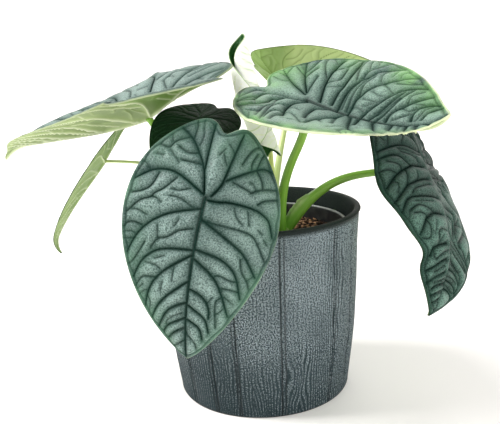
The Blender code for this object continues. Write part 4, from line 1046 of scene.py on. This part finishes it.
def make_bark_soil(finish):
    """Lumpy bed of bark with loose chips on it: each chip is a small rounded slab, turned and tipped.

    A chip is a ring grid whose radius follows a flattened egg with random bumps.
    """
    foot = POT_FLOOR + 2 * GAP + NURSERY_WALL
    inner = nursery_radius(SOIL_Z) - NURSERY_WALL - SOIL_PLAY
    hole = STEM_RADIUS - 0.0012
    share = np.linspace(0, 1, SOIL_STEPS)[:, None]
    turn = circle(SOIL_SIDES)
    top = around_z((1 - share) * (inner - 0.0008) + share * hole, turn, 0.0,
                   (share * STEM_CENTRE[0], share * STEM_CENTRE[1]))
    top[:, 2] = bark_height(top[:, 0], top[:, 1])
    side = turned([(nursery_radius(foot) - NURSERY_WALL - SOIL_PLAY, foot), (inner, SOIL_Z - 0.0035)], SOIL_SIDES)
    bed = np.concatenate([side, top, around_z(hole, turn, STEM_FOOT_Z - GAP, STEM_CENTRE)])
    faces = tube_faces(SOIL_STEPS + 3, SOIL_SIDES)[0]
    draw = np.random.default_rng(41)
    lie = np.sqrt(draw.uniform((hole + CHIP_SIZES[1]) ** 2, (inner - CHIP_SIZES[1]) ** 2, BARK_CHIPS))
    where = draw.uniform(0, 2 * math.pi, BARK_CHIPS)
    x = lie * np.cos(where) + STEM_CENTRE[0] * (1 - lie / inner)
    y = lie * np.sin(where) + STEM_CENTRE[1] * (1 - lie / inner)
    size, aspect, flat = (draw.uniform(*bounds, (BARK_CHIPS, 1, 1))
                          for bounds in (CHIP_SIZES, CHIP_ASPECTS, CHIP_FLATNESS))
    rise = np.linspace(-0.46, 0.46, CHIP_RINGS)[:, None] * math.pi
    lap = circle(CHIP_SIDES)
    bump = draw.uniform(0.72, 1.18, (BARK_CHIPS, CHIP_RINGS, CHIP_SIDES))
    spin, tip = draw.uniform(0, 2 * math.pi, (BARK_CHIPS, 1, 1)), draw.uniform(-0.6, 0.6, (BARK_CHIPS, 1, 1))
    out, up = swung(np.cos(rise) * np.cos(lap) * bump, np.sin(rise) * bump * flat, tip)
    out, aside = swung(out, np.cos(rise) * np.sin(lap) * bump * aspect, spin)
    z = bark_height(x, y) + draw.uniform(0.0, 0.0011, BARK_CHIPS)
    chips = np.stack([centre[:, None, None] + part * size for centre, part in ((x, out), (y, aside), (z, up))], -1)
    offsets = (len(bed) + np.arange(BARK_CHIPS) * CHIP_RINGS * CHIP_SIDES)[:, None, None]
    faces += [(block[None] + offsets).reshape(-1, block.shape[1]) for block in tube_faces(CHIP_RINGS, CHIP_SIDES)[0]]
    shade = np.repeat(draw.uniform(0.05, 1.0, BARK_CHIPS) ** 1.3, CHIP_RINGS * CHIP_SIDES)
    # The bed carries the mark of painted shade between the chips, and each chip its own tone
    marks = np.concatenate([packed(np.full(len(bed), 0.15), 0.75, 0.0, 1.0), packed(shade, 0.0, 0.0, 1.0)])
    return add_piece("bark_bed", np.concatenate([bed, chips.reshape(-1, 3)]), faces, finish, "soil",
                     None, {"marks": marks})


def make_sheathed_stem(finish):
    """Short stem with ringed leaf scars: radius waves with height and swells between the stalks."""
    rise = np.linspace(0, 1, STEM_RINGS)[:, None]
    turn = circle(STEM_SIDES)
    height = STEM_TOP_Z - STEM_FOOT_Z
    dome = np.sqrt(np.clip(1 - (np.clip(rise - 0.72, 0, 1) / 0.30) ** 2, 0.02, 1))
    radius = STEM_RADIUS * (0.86 + 0.14 * eased(rise / 0.15)) * dome
    radius = radius * (0.93 + 0.02 * np.sin(60 * rise + 2 * np.sin(turn)) + 0.02 * np.sin(5 * turn + 4 * rise))
    faces, rows, columns = tube_faces(STEM_RINGS, STEM_SIDES)
    uv = np.stack([columns / STEM_SIDES * 2 * math.pi * STEM_RADIUS, rows / STEM_RINGS * height], 1)
    return add_piece("short_stem", around_z(radius, turn, STEM_FOOT_Z + height * rise, STEM_CENTRE), faces, finish,
                     "stem", uv, {"marks": packed(0.3 * rise, 0.0 * radius, 0.0, 1.0)})


# Stage


def make_floor():
    """Plain pale floor that curves up into a backdrop far behind, lit as one sweep."""
    rows, columns = 60, 40
    along = np.linspace(0, 1, rows)[:, None]
    curve = np.clip((along - 0.6) / 0.2, 0, 1) * math.pi / 2
    y = np.where(along < 0.6, -2.0 + along / 0.6 * 4.4, 2.4 + 1.2 * np.sin(curve))
    z = 1.2 * (1 - np.cos(curve)) + np.clip((along - 0.8) / 0.2, 0, 1) * 2.2
    points = np.stack(np.broadcast_arrays(np.linspace(-4.0, 4.0, columns), y, z), -1).reshape(-1, 3)
    a = (np.arange(rows - 1)[:, None] * columns + np.arange(columns - 1)).ravel()
    material, tree, shader = new_material("pale_sweep", 0.85, 0.0, 0.2)
    shade = noise(tree, put(tree, "TexCoord").outputs["Object"], 1.5)
    wire(tree, shader, {"Base Color": mixed(tree, shade, (880, 855, 830), (910, 885, 860)),
                        "Emission Color": (1.0, 0.975, 0.95, 1.0), "Emission Strength": 0.14})
    floor = build("sweep", points, [np.stack([a, a + 1, a + columns + 1, a + columns], 1)], material)
    floor.data.shade_smooth()


def stand(name, data, place, ahead, side, up):
    """An object in the scene at a place, looking ahead."""
    made = bpy.data.objects.new(name, data)
    bpy.context.collection.objects.link(made)
    rows = np.stack([side, up, -ahead, place], 1)
    made.matrix_world = Matrix([*rows.tolist(), [0, 0, 0, 1]])
    return made


def make_light(name, place, size, power, at=(0.0, 0.0, 0.14)):
    """A square area light that faces the leaves, or another point."""
    lamp = bpy.data.lights.new(name, "AREA")
    lamp.shape = "SQUARE"
    lamp.size = size
    lamp.energy = power
    ahead = unit(np.array(at) - np.array(place))
    side = unit(np.cross(ahead, [0.0, 0.0, 1.0]))
    stand(name, lamp, place, ahead, side, np.cross(side, ahead))


def make_camera():
    """Camera that stands where the photograph's did."""
    ahead = direction((90.0 - math.degrees(CAMERA_TURN), -math.degrees(CAMERA_PITCH)))
    level = np.array([math.cos(CAMERA_TURN), -math.sin(CAMERA_TURN), 0.0])
    up = np.cross(level, ahead)
    lens = bpy.data.cameras.new("photo_camera")
    lens.lens = CAMERA_LENS
    lens.sensor_width = 36.0
    lens.clip_start = 0.01
    right = math.cos(CAMERA_ROLL) * level + math.sin(CAMERA_ROLL) * up
    top = math.cos(CAMERA_ROLL) * up - math.sin(CAMERA_ROLL) * level
    bpy.context.scene.camera = stand("photo_camera", lens, CAMERA_AT, ahead, right, top)


PEBBLES = make_pebbles()
STREAKS = make_streaks()
BLADE_FINISHES = {name: make_blade_finish(name, **look) for name, look in BLADE_LOOKS.items()}
GREEN_STALK = make_stalk_finish("green_stalk", (170, 400, 30), (380, 610, 120), (80, 260, 10))
PALE_STALK = make_stalk_finish("pale_stalk", (480, 600, 200), (660, 740, 360), (300, 460, 80))
LIME_STALK = make_stalk_finish("lime_stalk", (560, 660, 120), (760, 820, 340), (480, 620, 160))
STEM_SKIN = make_stalk_finish("stem_skin", (120, 240, 35), (260, 400, 90), (300, 400, 140))
STALK_FINISHES = {"young": LIME_STALK, "left_lower": PALE_STALK, "back": PALE_STALK}

make_camera()
make_slate_pot(make_slate())
make_nursery(make_plastic())
make_bark_soil(make_bark())
make_sheathed_stem(STEM_SKIN)
for leaf_name, leaf in LEAVES.items():
    make_blade(leaf_name, leaf, BLADE_FINISHES[leaf["finish"]])
    make_stalk(leaf_name, leaf, STALK_FINISHES.get(leaf_name, GREEN_STALK))

make_floor()
make_light("soft_key", (-0.95, 0.05, 1.15), 0.6, 31.0)
make_light("soft_fill", (1.1, -1.2, 0.7), 1.0, 17.0)
make_light("soft_back", (0.4, 1.3, 1.3), 1.4, 9.0)
make_light("soft_wall", (0.0, 1.2, 1.7), 2.0, 60.0, at=(0.0, 3.2, 0.9))
world = bpy.data.worlds.new("studio")
world.use_nodes = True
background = world.node_tree.nodes["Background"].inputs
background["Color"].default_value = (1.0, 1.0, 1.0, 1.0)
background["Strength"].default_value = 0.45
bpy.context.scene.world = world
bpy.context.scene.view_settings.view_transform = "Standard"
